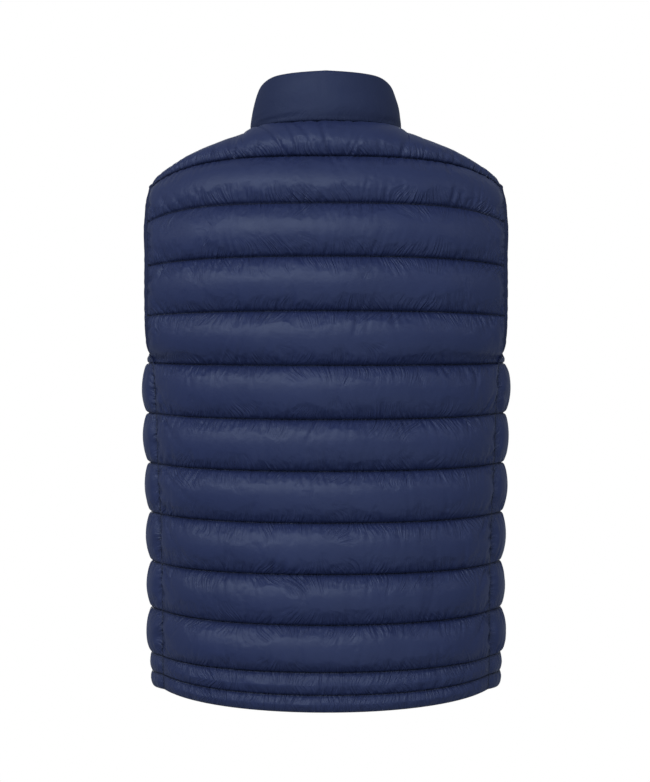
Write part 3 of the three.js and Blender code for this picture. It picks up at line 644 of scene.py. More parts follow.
def wall_mesh(name, outer, inner):
    """A closed wall: an outer and a coarser inner grid, joined along their borders by triangles that pair
    each outer border vertex with the inner one at the same share of that side."""
    rows, columns = outer.shape[:2]
    inner_rows, inner_columns = inner.shape[:2]
    offset = rows * columns
    quads = [grid_faces(rows, columns), grid_faces(inner_rows, inner_columns, offset)[:, ::-1]]
    triangles = []
    for fine, coarse in zip(border_of(rows, columns), border_of(inner_rows, inner_columns)):
        m, n = len(fine) - 1, len(coarse) - 1
        pair = np.round((np.arange(m) + 0.5) * n / m - 1e-9).astype(int)
        triangles.append(np.stack([fine[1:], fine[:-1], coarse[pair] + offset], -1))
        jump = np.searchsorted(pair, np.arange(1, n + 1))
        triangles.append(np.stack([coarse[:-1] + offset, coarse[1:] + offset, fine[jump]], -1))
    points = np.concatenate([outer.reshape(-1, 3), inner.reshape(-1, 3)])
    return mesh_object(name, points, quads, triangles)


def mesh_object(name, points, quads=(), triangles=()):
    """A mesh object at the origin from points in millimetres, its faces turned outwards and shaded
    smooth."""
    quads = np.concatenate(quads) if len(quads) else np.zeros((0, 4), int)
    triangles = np.concatenate(triangles) if len(triangles) else np.zeros((0, 3), int)
    volume = 0.0
    for faces in (quads[:, [0, 1, 2]], quads[:, [0, 2, 3]], triangles):
        a, b, c = (points[faces[:, i]] for i in range(3))
        volume += (a * np.cross(b, c)).sum()
    if volume < 0:
        quads, triangles = quads[:, ::-1], triangles[:, ::-1]
    mesh = bpy.data.meshes.new(name)
    mesh.vertices.add(len(points))
    mesh.vertices.foreach_set("co", (points * MM).astype(np.float32).ravel())
    corners = np.concatenate([quads.ravel(), triangles.ravel()])
    mesh.loops.add(len(corners))
    mesh.loops.foreach_set("vertex_index", corners.astype(np.int32))
    quad_starts = np.arange(len(quads)) * 4
    starts = np.concatenate([quad_starts, len(quads) * 4 + np.arange(len(triangles)) * 3])
    mesh.polygons.add(len(starts))
    mesh.polygons.foreach_set("loop_start", starts.astype(np.int32))
    mesh.update(calc_edges=True)
    mesh.validate()
    mesh.polygons.foreach_set("use_smooth", np.ones(len(mesh.polygons), bool))
    piece = bpy.data.objects.new(name, mesh)
    bpy.context.scene.collection.objects.link(piece)
    return piece


def surface_map(piece, across, up, name="cloth"):
    """Gives a piece a UV map in metres along its cloth, from one pair of values for each vertex."""
    layer = piece.data.uv_layers.new(name=name)
    corners = np.zeros(len(piece.data.loops), np.int32)
    piece.data.loops.foreach_get("vertex_index", corners)
    layer.data.foreach_set("uv", np.stack([across, up], -1)[corners].astype(np.float32).ravel())


def wall_map(piece, grids, inside, name="cloth", shift=(0, 0)):
    """Gives a wall a UV map from two grids of values. The inner grid takes those of its own rows and
    columns, moved by a shift."""
    both = [np.concatenate([grid.ravel(), grid[inside].ravel() + more]) for grid, more in zip(grids, shift)]
    surface_map(piece, *both, name)


# Materials


class Value:
    """A socket whose arithmetic adds Math nodes."""

    def __init__(self, nodes, socket):
        self.nodes, self.socket = nodes, socket

    def _math(self, operation, *others):
        return self.nodes.add("ShaderNodeMath", {"operation": operation}, dict(enumerate((self, *others))))

    def __add__(self, other):
        return self._math("ADD", other)

    def __mul__(self, other):
        return self._math("MULTIPLY", other)

    def __sub__(self, other):
        return self._math("SUBTRACT", other)

    def __pow__(self, other):
        return self._math("POWER", other)

    def __truediv__(self, other):
        return self._math("DIVIDE", other)

    def __rsub__(self, other):
        return self.nodes.add("ShaderNodeMath", {"operation": "SUBTRACT"}, {0: other, 1: self})

    __radd__, __rmul__ = __add__, __mul__

    def exp(self):
        """e to the value."""
        return self._math("EXPONENT")

    def size(self):
        """The value without its sign."""
        return self._math("ABSOLUTE")

    def clamp(self):
        """The value kept between 0 and 1."""
        return self.nodes.add("ShaderNodeClamp", {}, {"Value": self})


class Nodes:
    """Builds one material's node tree."""

    def __init__(self, name):
        self.material = bpy.data.materials.new(name)
        self.material.use_nodes = True
        self.tree = self.material.node_tree
        self.tree.nodes.clear()

    def add(self, kind, settings, inputs, output=0):
        """One node of a type, its settings first and then its sockets, and the asked output as a Value."""
        node = self.tree.nodes.new(kind)
        for key, value in settings.items():
            setattr(node, key, value)
        for key, value in inputs.items():
            if isinstance(value, Value):
                self.tree.links.new(value.socket, node.inputs[key])
            else:
                node.inputs[key].default_value = value
        return Value(self, node.outputs[output])

    def colours(self, factor, first, second):
        """Two colours mixed by a factor."""
        inputs = {"Factor": factor, "A": first, "B": second}
        return self.add("ShaderNodeMix", {"data_type": "RGBA"}, inputs, output=2)

    def place(self):
        """The place on the piece, in metres."""
        return self.add("ShaderNodeTexCoord", {}, {}, output=3)

    def noise(self, place, scale, detail=2.0, roughness=0.5):
        """A soft noise between 0 and 1 over a place, with so many features to a metre."""
        inputs = {"Vector": place, "Scale": scale, "Detail": detail, "Roughness": roughness}
        return self.add("ShaderNodeTexNoise", {}, inputs)

    def bands(self, axis, inputs):
        """Waves between 0 and 1 along one axis of the cloth's map."""
        cloth = self.add("ShaderNodeUVMap", {"uv_map": "cloth"}, {})
        inputs = {"Vector": cloth, **inputs}
        return self.add("ShaderNodeTexWave", {"bands_direction": axis}, inputs, output=1)

    def bump(self, strength, distance, height, more=None):
        """The normal of a surface raised by a height, on top of another normal where one is given."""
        inputs = {"Strength": strength, "Distance": distance, "Height": height}
        return self.add("ShaderNodeBump", {}, inputs if more is None else {**inputs, "Normal": more})

    def split(self, uv_map):
        """The two values of a UV map."""
        pair = self.add("ShaderNodeUVMap", {"uv_map": uv_map}, {})
        parts = self.add("ShaderNodeSeparateXYZ", {}, {"Vector": pair})
        return parts, Value(self, parts.socket.node.outputs[1])

    def ridges(self, x, y, scale):
        """Sharp ridges between 0 and 1: noise over two values, folded at its middle."""
        place = self.add("ShaderNodeCombineXYZ", {}, {"X": x, "Y": y})
        return 1.0 - (self.noise(place, scale, 2.0, 0.45) * 3.0 - 1.5).size().clamp()

    def finish(self, constants, varying):
        """The surface shader with its constant values set on its sockets and its varying ones linked."""
        shader = self.add("ShaderNodeBsdfPrincipled", {}, {**constants, **varying})
        self.add_output(shader)
        return self.material

    def add_output(self, shader):
        """Links a shader to the material's surface."""
        output = self.tree.nodes.new("ShaderNodeOutputMaterial")
        self.tree.links.new(shader.socket, output.inputs["Surface"])


def rgba(colour, gain=1.0):
    """A colour property as a node value."""
    return (*(min(1.0, c * gain) for c in colour[:3]), 1.0)


# The fine creases of the bump. per_metre says how many stand side by side in a metre, a small stretch makes
# them long, a reach is in metres, and a noise value is the number of its features to a metre.
CREASES = {
    "per_metre": 195.0,
    "stretch": 0.12,
    "fine_per_metre": 460.0,
    "fine_stretch": 0.2,
    "fine_share": 0.25,
    "edge_per_metre": 120.0,
    "edge_stretch": 0.2,
    "edge_reach": 0.016,
    "shortest": 0.006,
    "reach": 0.06,
    "reach_noise": 42.0,
    "lean": 5.0,
    "lean_noise": 13.0,
    "fading": 1.5,
    "softness": 0.2,
    "soft_noise": 120.0,
}
# Painted shade: the cloth's colour darkens towards the stitch lines and the side edges by exp(-rate x
# distance), rates per metre, towards a colour of this share of its own.
SHADE = {"line": 1250.0, "line_depth": 0.95, "edge": 600.0, "edge_depth": 0.7, "colour": 0.1}
WEAVE = {"Scale": 450.0, "Distortion": 0.6, "Detail": 1.0, "Detail Scale": 2.0}
BAND_PITCH = 0.314  # metres between the bands of a wave texture of scale 1
SHELL = {"gloss": 0.42, "crumple": 1.25}
COLLAR_CLOTH = {"gloss": 0.60, "crumple": 0.35}


def crease_height(nodes, place, crumple):
    """The height of the cloth's finest creases, which are ridges of noise pressed inwards. Beside a stitch
    line they are about 5 mm apart with finer ones 2 mm apart, and beside a panel's side edges 8 mm apart.
    Each slants by a lean that drifts along the cloth, and fades by a power of 1 - distance / reach."""
    across, up = nodes.split("cloth")
    to_line, to_edge = nodes.split("seams")
    lean = (nodes.noise(place, CREASES["lean_noise"], 1.0) - 0.5) * CREASES["lean"]
    reach = nodes.noise(place, CREASES["reach_noise"]) ** 2.0 * CREASES["reach"] + CREASES["shortest"]
    slanted = across + lean * to_line
    by_line = nodes.ridges(slanted, up * CREASES["stretch"], CREASES["per_metre"])
    fine = nodes.ridges(slanted, up * CREASES["fine_stretch"], CREASES["fine_per_metre"])
    beside_line = (1.0 - to_line / reach).clamp() ** CREASES["fading"]
    out, slanted_up = to_edge * CREASES["edge_stretch"], up + lean * to_edge
    by_edge = nodes.ridges(out, slanted_up, CREASES["edge_per_metre"])
    beside_edge = (1.0 - to_edge / CREASES["edge_reach"]).clamp() ** CREASES["fading"]
    creases = (by_line + fine * CREASES["fine_share"]) * beside_line + by_edge * beside_edge
    soft = nodes.noise(place, CREASES["soft_noise"], 3.0, 0.55)
    return soft * CREASES["softness"] - creases * crumple


def nylon(name, colour, gloss, crumple):
    """Fine woven nylon: its colour drifts a little and painted shade darkens it towards its seams, its weave
    is two crossed waves about 0.7 mm apart, and fine creases lie beside its seams."""
    nodes = Nodes(name)
    place = nodes.place()
    drift = nodes.noise(place, 14.0, 3.0) * 0.7 + nodes.noise(place, 320.0) * 0.3
    plain = nodes.colours(drift.clamp(), rgba(colour, 0.84), rgba(colour, 1.16))
    # painted shade: the colour is darkened beside the stitch lines and the side edges, where the cloth's
    # valleys lie in shade
    to_line, to_edge = nodes.split("seams")
    by_line = (to_line * -SHADE["line"]).exp() * SHADE["line_depth"]
    by_edge = (to_edge * -SHADE["edge"]).exp() * SHADE["edge_depth"]
    base = nodes.colours((by_line + by_edge).clamp(), plain, rgba(colour, SHADE["colour"]))
    weave = nodes.bump(0.12, 0.00012, nodes.bands("X", WEAVE) + nodes.bands("Y", WEAVE))
    bump = nodes.bump(1.0, 0.0022, crease_height(nodes, place, crumple), weave)
    rough = gloss + nodes.noise(place, 55.0, 3.0) * 0.14
    return nodes.finish(
        {
            "Sheen Weight": 0.05,
            "Sheen Roughness": 0.5,
            "Sheen Tint": rgba(colour, 8.0),
            "Specular IOR Level": 0.32,
            "Specular Tint": (0.72, 0.84, 1.0, 1.0),
        },
        {"Base Color": base, "Roughness": rough, "Normal": bump},
    )


def ribbed(name, colour, pitch):
    """Ribbed tape, for the elastic and the zip: fine ribs at a pitch in metres, over a matt woven ground,
    with painted shade in the hollows between the ribs.
    """
    nodes = Nodes(name)
    fuzz = nodes.noise(nodes.place(), 900.0)
    ribs = nodes.bands("X", {"Scale": BAND_PITCH / pitch, "Distortion": 0.3})
    # painted shade: the colour follows the ribs' and the fuzz's height, darker in their hollows and lighter
    # on their tops
    base = nodes.colours((ribs * 0.6 + fuzz * 0.4).clamp(), rgba(colour, 0.7), rgba(colour, 1.25))
    bump = nodes.bump(0.5, 0.0003, ribs + fuzz * 0.4)
    return nodes.finish(
        {
            "Sheen Weight": 0.06,
            "Sheen Roughness": 0.5,
            "Sheen Tint": rgba(colour, 5.0),
            "Specular IOR Level": 0.2,
        },
        {"Base Color": base, "Roughness": 0.7 + fuzz * 0.15, "Normal": bump},
    )


def plain_thread(name, colour):
    """Matt sewing thread, its colour a little uneven."""
    nodes = Nodes(name)
    fuzz = nodes.noise(nodes.place(), 1200.0)
    base = nodes.colours(fuzz, rgba(colour, 0.6), rgba(colour, 1.3))
    return nodes.finish({"Specular IOR Level": 0.15}, {"Base Color": base, "Roughness": 0.75 + fuzz * 0.15})


def lacquer(name, colour, metallic):
    """Smooth dark lacquer, a little worn, over cast metal or moulded nylon."""
    nodes = Nodes(name)
    wear = nodes.noise(nodes.place(), 700.0, 3.0)
    base = nodes.colours(wear, rgba(colour, 0.8), rgba(colour, 1.5))
    return nodes.finish(
        {"Coat Roughness": 0.2, "Specular IOR Level": 0.5},
        {
            "Base Color": base,
            "Roughness": 0.28 + wear * 0.15,
            "Metallic": metallic + wear * 0.1,
            "Normal": nodes.bump(0.1, 0.0001, wear),
        },
    )


# Settings


def length_property(name, description, default, low, high):
    """A length in metres as a property."""
    return bpy.props.FloatProperty(
        name=name,
        description=description,
        default=default,
        min=low,
        max=high,
        unit="LENGTH",
        subtype="DISTANCE",
        precision=4,
    )


def number_property(name, description, default, low, high):
    """A plain number as a property."""
    return bpy.props.FloatProperty(name=name, description=description, default=default, min=low, max=high)


def colour_property(name, description, default):
    """A colour as a property."""
    return bpy.props.FloatVectorProperty(
        name=name, description=description, default=default, min=0, max=1, size=3, subtype="COLOR"
    )


class VEST_sizes(bpy.types.PropertyGroup):
    """The sizes of the vest's cloth."""

    body_rise: length_property("Body channels", "The crown's height over its lines", 0.0115, 0, 0.03)
    shoulder_rise: length_property("Shoulder channel", "The crown's height at the top", 0.0095, 0, 0.03)
    hem_rise: length_property("Hem channels", "The crown's height at the hem", 0.0042, 0, 0.02)
    groove: length_property("Stitch groove", "How deep the stitching pulls the cloth in", 0.0018, 0, 0.005)
    seam_tuck: length_property("Seam tuck", "How far a channel takes to rise at a seam", 0.009, 0.001, 0.05)
    roundness: number_property("Roundness", "Below 1 a channel is fuller than a plain arch", 0.65, 0.3, 1.5)
    side_share: number_property("Side fullness", "The crown's share of height at the sides", 0.6, 0, 1)
    pucker_gain: number_property("Puckers", "The depth of the scattered puckers", 1.4, 0, 4)
    unevenness: number_property("Unevenness", "How far the crowns wander in height", 0.09, 0, 0.5)
    stitch_pitch: length_property("Stitch pitch", "From one stitch to the next", 0.0032, 0.001, 0.01)
    tooth_pitch: length_property("Tooth pitch", "From one zip tooth to the next", 0.0013, 0.0008, 0.01)


class VEST_colours(bpy.types.PropertyGroup):
    """The colours of the vest."""

    shell: colour_property("Shell", "The quilted nylon", (0.0134, 0.0202, 0.0665))
    collar: colour_property("Collar", "The collar's nylon", (0.0098, 0.0155, 0.0500))
    binding: colour_property("Binding", "The elastic round the armholes", (0.0110, 0.0170, 0.0500))
    thread: colour_property("Thread", "The quilting thread", (0.0045, 0.0080, 0.0300))
    zip_tape: colour_property("Zip", "The zip's tape and coil", (0.0130, 0.0180, 0.0420))
    metal: colour_property("Slider", "The lacquered slider and pull", (0.0200, 0.0270, 0.0560))


def sizes():
    """The scene's sizes."""
    return bpy.context.scene.vest_sizes


def colours():
    """The scene's colours."""
    return bpy.context.scene.vest_colours


def dress(piece, node, material, body="garment"):
    """Gives a piece its material, and lets it stand for a node and move with its body."""
    piece.data.materials.clear()
    piece.data.materials.append(material)
    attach(piece, body)
    if node:
        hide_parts(node)


class VEST_OT_panels(bpy.types.Operator):
    """Builds the quilted back and the two quilted fronts, padded walls with their channels and puckers"""

    bl_idname = "vest.panels"
    bl_label = "Quilted panels"

    def execute(self, context):
        shell = nylon("shell_nylon", colours().shell, SHELL["gloss"], SHELL["crumple"])
        for name, panel, side, seed in PANELS:
            outer, stitched, normals, line, edge = quilted_panel(panel, side, seed, sizes())
            rows = np.searchsorted(line[:, 0], np.linspace(0, TOP_LINE, INSIDE_GRID["rows"]))
            columns = np.round(np.linspace(0, panel["columns"] - 1, INSIDE_GRID["columns"])).astype(int)
            inside = np.ix_(rows, columns)
            piece = wall_mesh(name + "_cloth", outer, (stitched - normals * WALL)[inside])
            across, up = cloth_map(stitched)
            to_line = np.abs(line - np.round(line)) * np.gradient(up, axis=0) / np.gradient(line, axis=0)
            wall_map(piece, (across, up), inside)
            wall_map(piece, (to_line, edge * MM), inside, "seams", INSIDE_SHIFT)
            dress(piece, name, shell)
        return {"FINISHED"}


COLLAR_END = 180 - math.degrees(math.asin((ZIP["half_width"] + SEAM_GAP) / COLLAR["half_width"]))
COLLAR_PROFILE = table(
    "up outer inner",
    [
        [0, 0.6, 2.2],
        [0.05, 2.0, 2.7],
        [0.3, 2.7, 2.5],
        [0.65, 2.7, 2.5],
        [0.9, 2.5, 2.4],
        [0.97, 2.0, 1.9],
        [1, 0.9, 0.9],
    ],
)
COLLAR_GRID = {"rows": 30, "crowding": 1.25, "columns": 361, "inner_step": 3}
COLLAR_DRIFT = {
    "broad": 0.8,
    "broad_spans": (14, 40),
    "narrow": 0.35,
    "narrow_spans": (9, 9),
    "narrow_fade": 8,
    "inside": 0.4,
}
COLLAR_TUCK = {"depth": 0.55, "up": 0.1, "width": 0.03}
FOLD_START = (-0.15, 0.25)
FOLD_END = (0.7, 1.15)
FAR = 0.1  # a distance to the side edges, in metres, at which cloth has no creases and no painted shade from them

# The collar's soft folds, in millimetres along its cloth from the middle and up from the neck seam.
COLLAR_FOLDS = table(
    "x z end_x end_z width depth",
    [
        [102, 2, 26, 9, 2.6, 1.0],
        [112, 9, 70, 13, 2.4, 0.7],
        [-58, 3, -98, 8, 2.8, 0.7],
        [8, 58, 3, 26, 5.0, 0.35],
    ],
)


def collar_folds(across, height):
    """The sum of soft troughs, each along a straight line between two places: depth x (1 - q squared) x
    exp(-q squared), where q is the distance from the line over the width, fading out at both ends."""
    total = np.zeros(across.shape)
    for x, z, end_x, end_z, width, depth in zip(*COLLAR_FOLDS.values()):
        length = math.hypot(end_x - x, end_z - z)
        ahead_x, ahead_z = (end_x - x) / length, (end_z - z) / length
        place = ((across - x) * ahead_x + (height - z) * ahead_z) / length
        q = ((height - z) * ahead_x - (across - x) * ahead_z) / width
        ends = smoothstep(*FOLD_START, place) * (1 - smoothstep(*FOLD_END, place))
        total += depth * (1 - q**2) * np.exp(-(q**2)) * ends
    return total


def collar_surface(angle, up):
    """The collar's middle surface: the neck seam at 0 and the rim at 1, joined straight, plus a swell
    outwards of fullness x sin(pi x up)."""
    low = neck_ring(angle)
    low[..., 2] += COLLAR["lift"]
    turn = np.radians(angle)
    outward = vector(np.sin(turn), np.cos(turn), 0 * turn)
    swell = COLLAR["fullness"] * np.sin(np.pi * up)
    return mix(low, rim_ring(angle), up[..., None]) + outward * swell[..., None]


class VEST_OT_collar(bpy.types.Operator):
    """Builds the plain stand collar, lightly padded and rounded over at its rim"""

    bl_idname = "vest.collar"
    bl_label = "Collar"

    def execute(self, context):
        rng = np.random.default_rng(SEED + 5)
        heights = 1 - (1 - np.linspace(0, 1, COLLAR_GRID["rows"])) ** COLLAR_GRID["crowding"]
        angles = np.linspace(-COLLAR_END, COLLAR_END, COLLAR_GRID["columns"])
        up, angle = np.meshgrid(heights, angles, indexing="ij")
        middle = collar_surface(angle, up)
        normals = grid_normals(middle, -1.0)
        broad = COLLAR_DRIFT["broad"] * wander(rng, up.shape, COLLAR_DRIFT["broad_spans"])
        narrow = COLLAR_DRIFT["narrow"] * wander(rng, up.shape, COLLAR_DRIFT["narrow_spans"])
        narrow = narrow * np.exp(-COLLAR_DRIFT["narrow_fade"] * up)
        drift = (broad + narrow) * np.sin(np.pi * up) ** 0.5
        across, height = cloth_map(middle)
        tuck = COLLAR_TUCK["depth"] * np.exp(-(((up - COLLAR_TUCK["up"]) / COLLAR_TUCK["width"]) ** 2))
        fold = tuck + collar_folds(across / MM, height / MM)
        outer = middle + normals * (along(COLLAR_PROFILE, "outer", up) + drift - fold)[..., None]
        inner_height = along(COLLAR_PROFILE, "inner", up) - COLLAR_DRIFT["inside"] * drift
        inner = middle - normals * inner_height[..., None]
        inside = np.s_[:, :: COLLAR_GRID["inner_step"]]
        piece = wall_mesh("collar_cloth", outer, inner[inside])
        wall_map(piece, (across, height), inside)
        wall_map(piece, (height, np.full(height.shape, FAR)), inside, "seams")
        cloth = nylon("collar_nylon", colours().collar, COLLAR_CLOTH["gloss"], COLLAR_CLOTH["crumple"])
        dress(piece, "collar", cloth)
        return {"FINISHED"}


BINDING = {
    "width": 6.9,
    "thickness": 3.2,
    "inset": 0.85,
    "gap": -0.8,  # it wraps the cloth's edge by 0.8 mm
    "samples": 400,
    "steps": 900,
    "smoothing": 12,
    "sides": 16,
    "girth": 0.0176,
    "rib_pitch": 0.0012,
}
BINDING_ROUNDING = {"flat": 0.55, "thick": 0.7}
BINDING_GATHERS = {"span": 9, "width": 0.015, "thickness": 0.1, "lift": 0.12}
EDGE_SHARES = (0.992, 0.996, 1.0)  # three columns at the panel's edge, to find the normals there


def armhole_loop():
    """The left armhole's edge as a closed loop: points and normals up the back and down the front, then
    spaced evenly along the loop."""
    lines = np.linspace(UNDERARM_LINE, TOP_LINE, BINDING["samples"])
    lines, shares = np.meshgrid(lines, EDGE_SHARES, indexing="ij")
    points, normals = [], []
    for panel, keep in ((BACK, slice(None)), (FRONT, slice(-2, 0, -1))):
        patch = panel["surface"](shares, lines)
        points.append(patch[keep, -1])
        normals.append(panel_normals(patch, lines, panel["outward"])[keep, -1])
    points, normals = (np.concatenate([*runs, runs[0][:1]]) for runs in (points, normals))
    places = lengths_along(points)
    even = np.linspace(0, places[-1], BINDING["steps"] + 1)[:-1]
    smooth = resample(normals, places, even)
    for _ in range(BINDING["smoothing"]):
        smooth = (np.roll(smooth, 1, 0) + smooth * 2 + np.roll(smooth, -1, 0)) / 4
    return resample(points, places, even), unit(smooth), places[-1]


def rounded(wave, power):
    """A wave between -1 and 1 whose ends are broadened by a power below 1."""
    return np.abs(wave) ** power * np.sign(wave)


class VEST_OT_bindings(bpy.types.Operator):
    """Builds the elastic folded over each armhole's edge, its ribs and its gathers"""

    bl_idname = "vest.bindings"
    bl_label = "Armhole bindings"

    def execute(self, context):
        points, normals, length = armhole_loop()
        outward = unit(np.cross(normals, unit(np.roll(points, -1, 0) - np.roll(points, 1, 0))))
        place = np.linspace(0, 1, BINDING["steps"], endpoint=False) * length
        rng = np.random.default_rng(SEED + 9)
        lobes = wander(rng, (BINDING["steps"], 4), (BINDING_GATHERS["span"], 4))[:, [0]]
        turn = np.linspace(0, 2 * np.pi, BINDING["sides"], endpoint=False)
        flat = rounded(np.cos(turn), BINDING_ROUNDING["flat"])
        thick = rounded(np.sin(turn), BINDING_ROUNDING["thick"])
        width, half = BINDING["width"], BINDING["thickness"] / 2
        out = BINDING["gap"] + width * (0.5 + 0.5 * flat) * (1 + BINDING_GATHERS["width"] * lobes)
        lift = half * thick * (1 + BINDING_GATHERS["thickness"] * lobes)
        lift = lift - BINDING["inset"] + BINDING_GATHERS["lift"] * lobes
        ring = points[:, None] + outward[:, None] * out[..., None] + normals[:, None] * lift[..., None]
        index = np.arange(out.size).reshape(out.shape)
        ahead, beside = np.roll(index, -1, 0), np.roll(index, -1, 1)
        quads = np.stack([index, beside, np.roll(beside, -1, 0), ahead], -1).reshape(-1, 4)
        run, around = np.broadcast_arrays(place[:, None] * MM, turn / (2 * np.pi) * BINDING["girth"])
        elastic = ribbed("binding_elastic", colours().binding, BINDING["rib_pitch"])
        for name, side in (("left", 1), ("right", -1)):
            piece = mesh_object("armhole_elastic_" + name, (ring * [side, 1, 1]).reshape(-1, 3), [quads])
            surface_map(piece, run.ravel(), around.ravel())
            dress(piece, "armhole_binding_" + name, elastic)
            length * MM
        return {"FINISHED"}


ZIP_TAPE = table(
    "x rise",
    [
        [-6.4, 0.5],
        [-5.6, 0.9],
        [-3.4, 0.9],
        [-3.0, 0.75],
        [-1.0, 0.75],
        [1.0, 0.75],
        [3.0, 0.75],
        [3.4, 0.9],
        [5.6, 0.9],
        [6.4, 0.5],
    ],
)
ZIP_STEPS = 420
ZIP_PATH = {"body": 240, "collar": 20, "on_collar": (0.05, 0.985), "smoothing": 6}
TAPE_THICKNESS = 1.3
TAPE_RIBS = 0.0011
COIL = {"length": 3.6, "width": 1.15, "height": 1.5, "sides": 6, "lift": 1.15, "spread": 0.75, "spare": 4}


def zip_path(count):
    """The zip's middle line from the hem to the collar's rim, and its outward direction, in even steps."""
    lines = np.linspace(0, NECK_LINE, ZIP_PATH["body"])
    body = front_surface(0 * lines, lines) * [0, 1, 1]
    seam, rim = neck_ring(180.0), rim_ring(180.0)
    up = np.linspace(*ZIP_PATH["on_collar"], ZIP_PATH["collar"])
    points = np.concatenate([body, vector(0 * up, mix(seam[1], rim[1], up), mix(seam[2], rim[2], up))])
    places = lengths_along(points)
    path = resample(points, places, np.linspace(0, places[-1], count))
    tangent = unit(np.gradient(path, axis=0))
    for _ in range(ZIP_PATH["smoothing"]):
        tangent[1:-1] = unit(tangent[:-2] + 2 * tangent[1:-1] + tangent[2:])
    return path, tangent, vector(0 * path[:, 0], -tangent[:, 2], tangent[:, 1]), places[-1]


def tape_side(path, outward, rise):
    """One side of the zip's tape: its cross profile carried along the zip."""
    return path[:, None] + outward[:, None] * rise[:, None] + ZIP_TAPE["x"][:, None] * ACROSS


def repeated(name, shape, faces, centres, axes):
    """Copies of a small shape as one mesh: each copy's points are its centre plus the shape's three
    coordinates along three axes."""
    points = centres[:, None] + np.einsum("kc,ncd->nkd", shape, axes)
    offsets = (np.arange(len(centres)) * len(shape))[:, None, None]
    groups = {}
    for face in faces:
        groups.setdefault(len(face), []).append(face)
    quads = [(np.array(groups[4])[None] + offsets).reshape(-1, 4)] if 4 in groups else []
    triangles = [(np.array(groups[3])[None] + offsets).reshape(-1, 3)] if 3 in groups else []
    return mesh_object(name, points.reshape(-1, 3), quads, triangles)


def spindle(length, width, height, sides=5, shoulder_share=0.32):
    """A small closed capsule: a point at each end and two rings between them. Its long axis is the first
    one."""
    turn = np.linspace(0, 2 * np.pi, sides, endpoint=False)

    def ring(x):
        return vector(x, width / 2 * np.cos(turn), height / 2 * np.sin(turn))

    tip, shoulder = np.array([[length / 2, 0, 0]]), shoulder_share * length
    shape = np.concatenate([-tip, ring(-shoulder), ring(shoulder), tip])
    a, b, last = 1, 1 + sides, 1 + 2 * sides
    faces = []
    for i in range(sides):
        j = (i + 1) % sides
        faces += [(0, a + j, a + i), (a + i, a + j, b + j, b + i), (last, b + i, b + j)]
    return shape, faces


class VEST_OT_zip(bpy.types.Operator):
    """Builds the zip's woven tape and its coil, and lacquers the slider and its pull tab"""

    bl_idname = "vest.zip"
    bl_label = "Zip"

    def execute(self, context):
        path, _, outward, length = zip_path(ZIP_STEPS)
        front = tape_side(path, outward, ZIP_TAPE["rise"])
        piece = wall_mesh("zip_tape", front, tape_side(path, outward, ZIP_TAPE["rise"] - TAPE_THICKNESS))
        wall_map(piece, cloth_map(front), np.s_[:, :])
        dress(piece, "zip_chain", ribbed("zip_weave", colours().zip_tape, TAPE_RIBS))
        length * MM
        count = int(length / (sizes().tooth_pitch / MM)) - COIL["spare"]
        centres, along_zip, out = (values[1:-1] for values in zip_path(count + 2)[:3])
        side = np.where(np.arange(count) % 2 == 0, 1.0, -1.0)
        centres = centres + out * COIL["lift"] + side[:, None] * ACROSS * COIL["spread"]
        axes = np.stack([np.broadcast_to(ACROSS, along_zip.shape), along_zip, out], 1)
        shape, faces = spindle(COIL["length"], COIL["width"], COIL["height"], COIL["sides"])
        teeth = repeated("zip_coil", shape, faces, centres, axes)
        dress(teeth, None, lacquer("coil_nylon", colours().zip_tape, 0.0))
        metal = lacquer("navy_lacquer", colours().metal, 0.65)
        for name in ("zip_slider", "zip_pull"):
            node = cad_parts[name]
            node.data.materials.clear()
            node.data.materials.append(metal)
        return {"FINISHED"}


STITCH = {"length": 0.8, "width": 0.55, "height": 0.5, "lift": 0.1}
STITCH_ENDS = 0.004  # the share of a panel's width left free at each end of a row of stitches
STITCH_SAMPLES = 700
BESIDE_LINE = 0.02  # how far beside a stitch line, in lines, the surface is sampled for its normals


def stitch_row(panel, line, pitch):
    """The middles and the axes of the stitches along one line of a panel."""
    share = np.linspace(panel["shares"][0] + STITCH_ENDS, 1 - STITCH_ENDS, STITCH_SAMPLES)
    rows = line + np.array([-BESIDE_LINE, 0.0, BESIDE_LINE])[:, None] + 0 * share
    patch = panel["surface"](share + 0 * rows, rows)
    run, normal = patch[1], panel_normals(patch, rows, panel["outward"])[1]
    places = lengths_along(run)
    even = np.arange(pitch / 2, places[-1] - pitch / 2, pitch)
    ahead = unit(resample(np.gradient(run, axis=0), places, even))
    out = unit(resample(normal, places, even))
    centres = resample(run, places, even) + out * (EDGE_RISE - sizes().groove / MM + STITCH["lift"])
    return centres, np.stack([ahead, unit(np.cross(out, ahead)), out], 1)


class VEST_OT_stitching(bpy.types.Operator):
    """Lays a row of thread stitches along each quilting line of the three panels"""

    bl_idname = "vest.stitching"
    bl_label = "Stitching"

    def execute(self, context):
        pitch = sizes().stitch_pitch / MM
        thread = plain_thread("quilting_thread", colours().thread)
        shape, faces = spindle(STITCH["length"] * pitch, STITCH["width"], STITCH["height"])
        for name, panel, side, _ in PANELS:
            rows = [stitch_row(panel, line, pitch) for line in range(1, TOP_LINE)]
            mirror = np.array([side, 1, 1])
            centres, axes = (np.concatenate(parts) * mirror for parts in zip(*rows))
            piece = repeated("quilting_thread_" + name.replace("_panel", ""), shape, faces, centres, axes)
            dress(piece, None, thread)
        return {"FINISHED"}


PHOTO_HEIGHT = 782  # in pixels
SENSOR = 36.0  # the width of the camera's sensor, in millimetres
CAMERA = {"focal_px": 2051.3, "horizon_row": 335, "distance": 2.4, "z": -0.2387, "x": 0.00117}
STAGE = {"floor": -1.4, "flat_radius": 8.0, "radius": 9.0, "top": 9.0, "sides": 48, "steps": 12}
SKY = {"colour": (0.82, 0.9, 1.0, 1), "strength": 0.38}

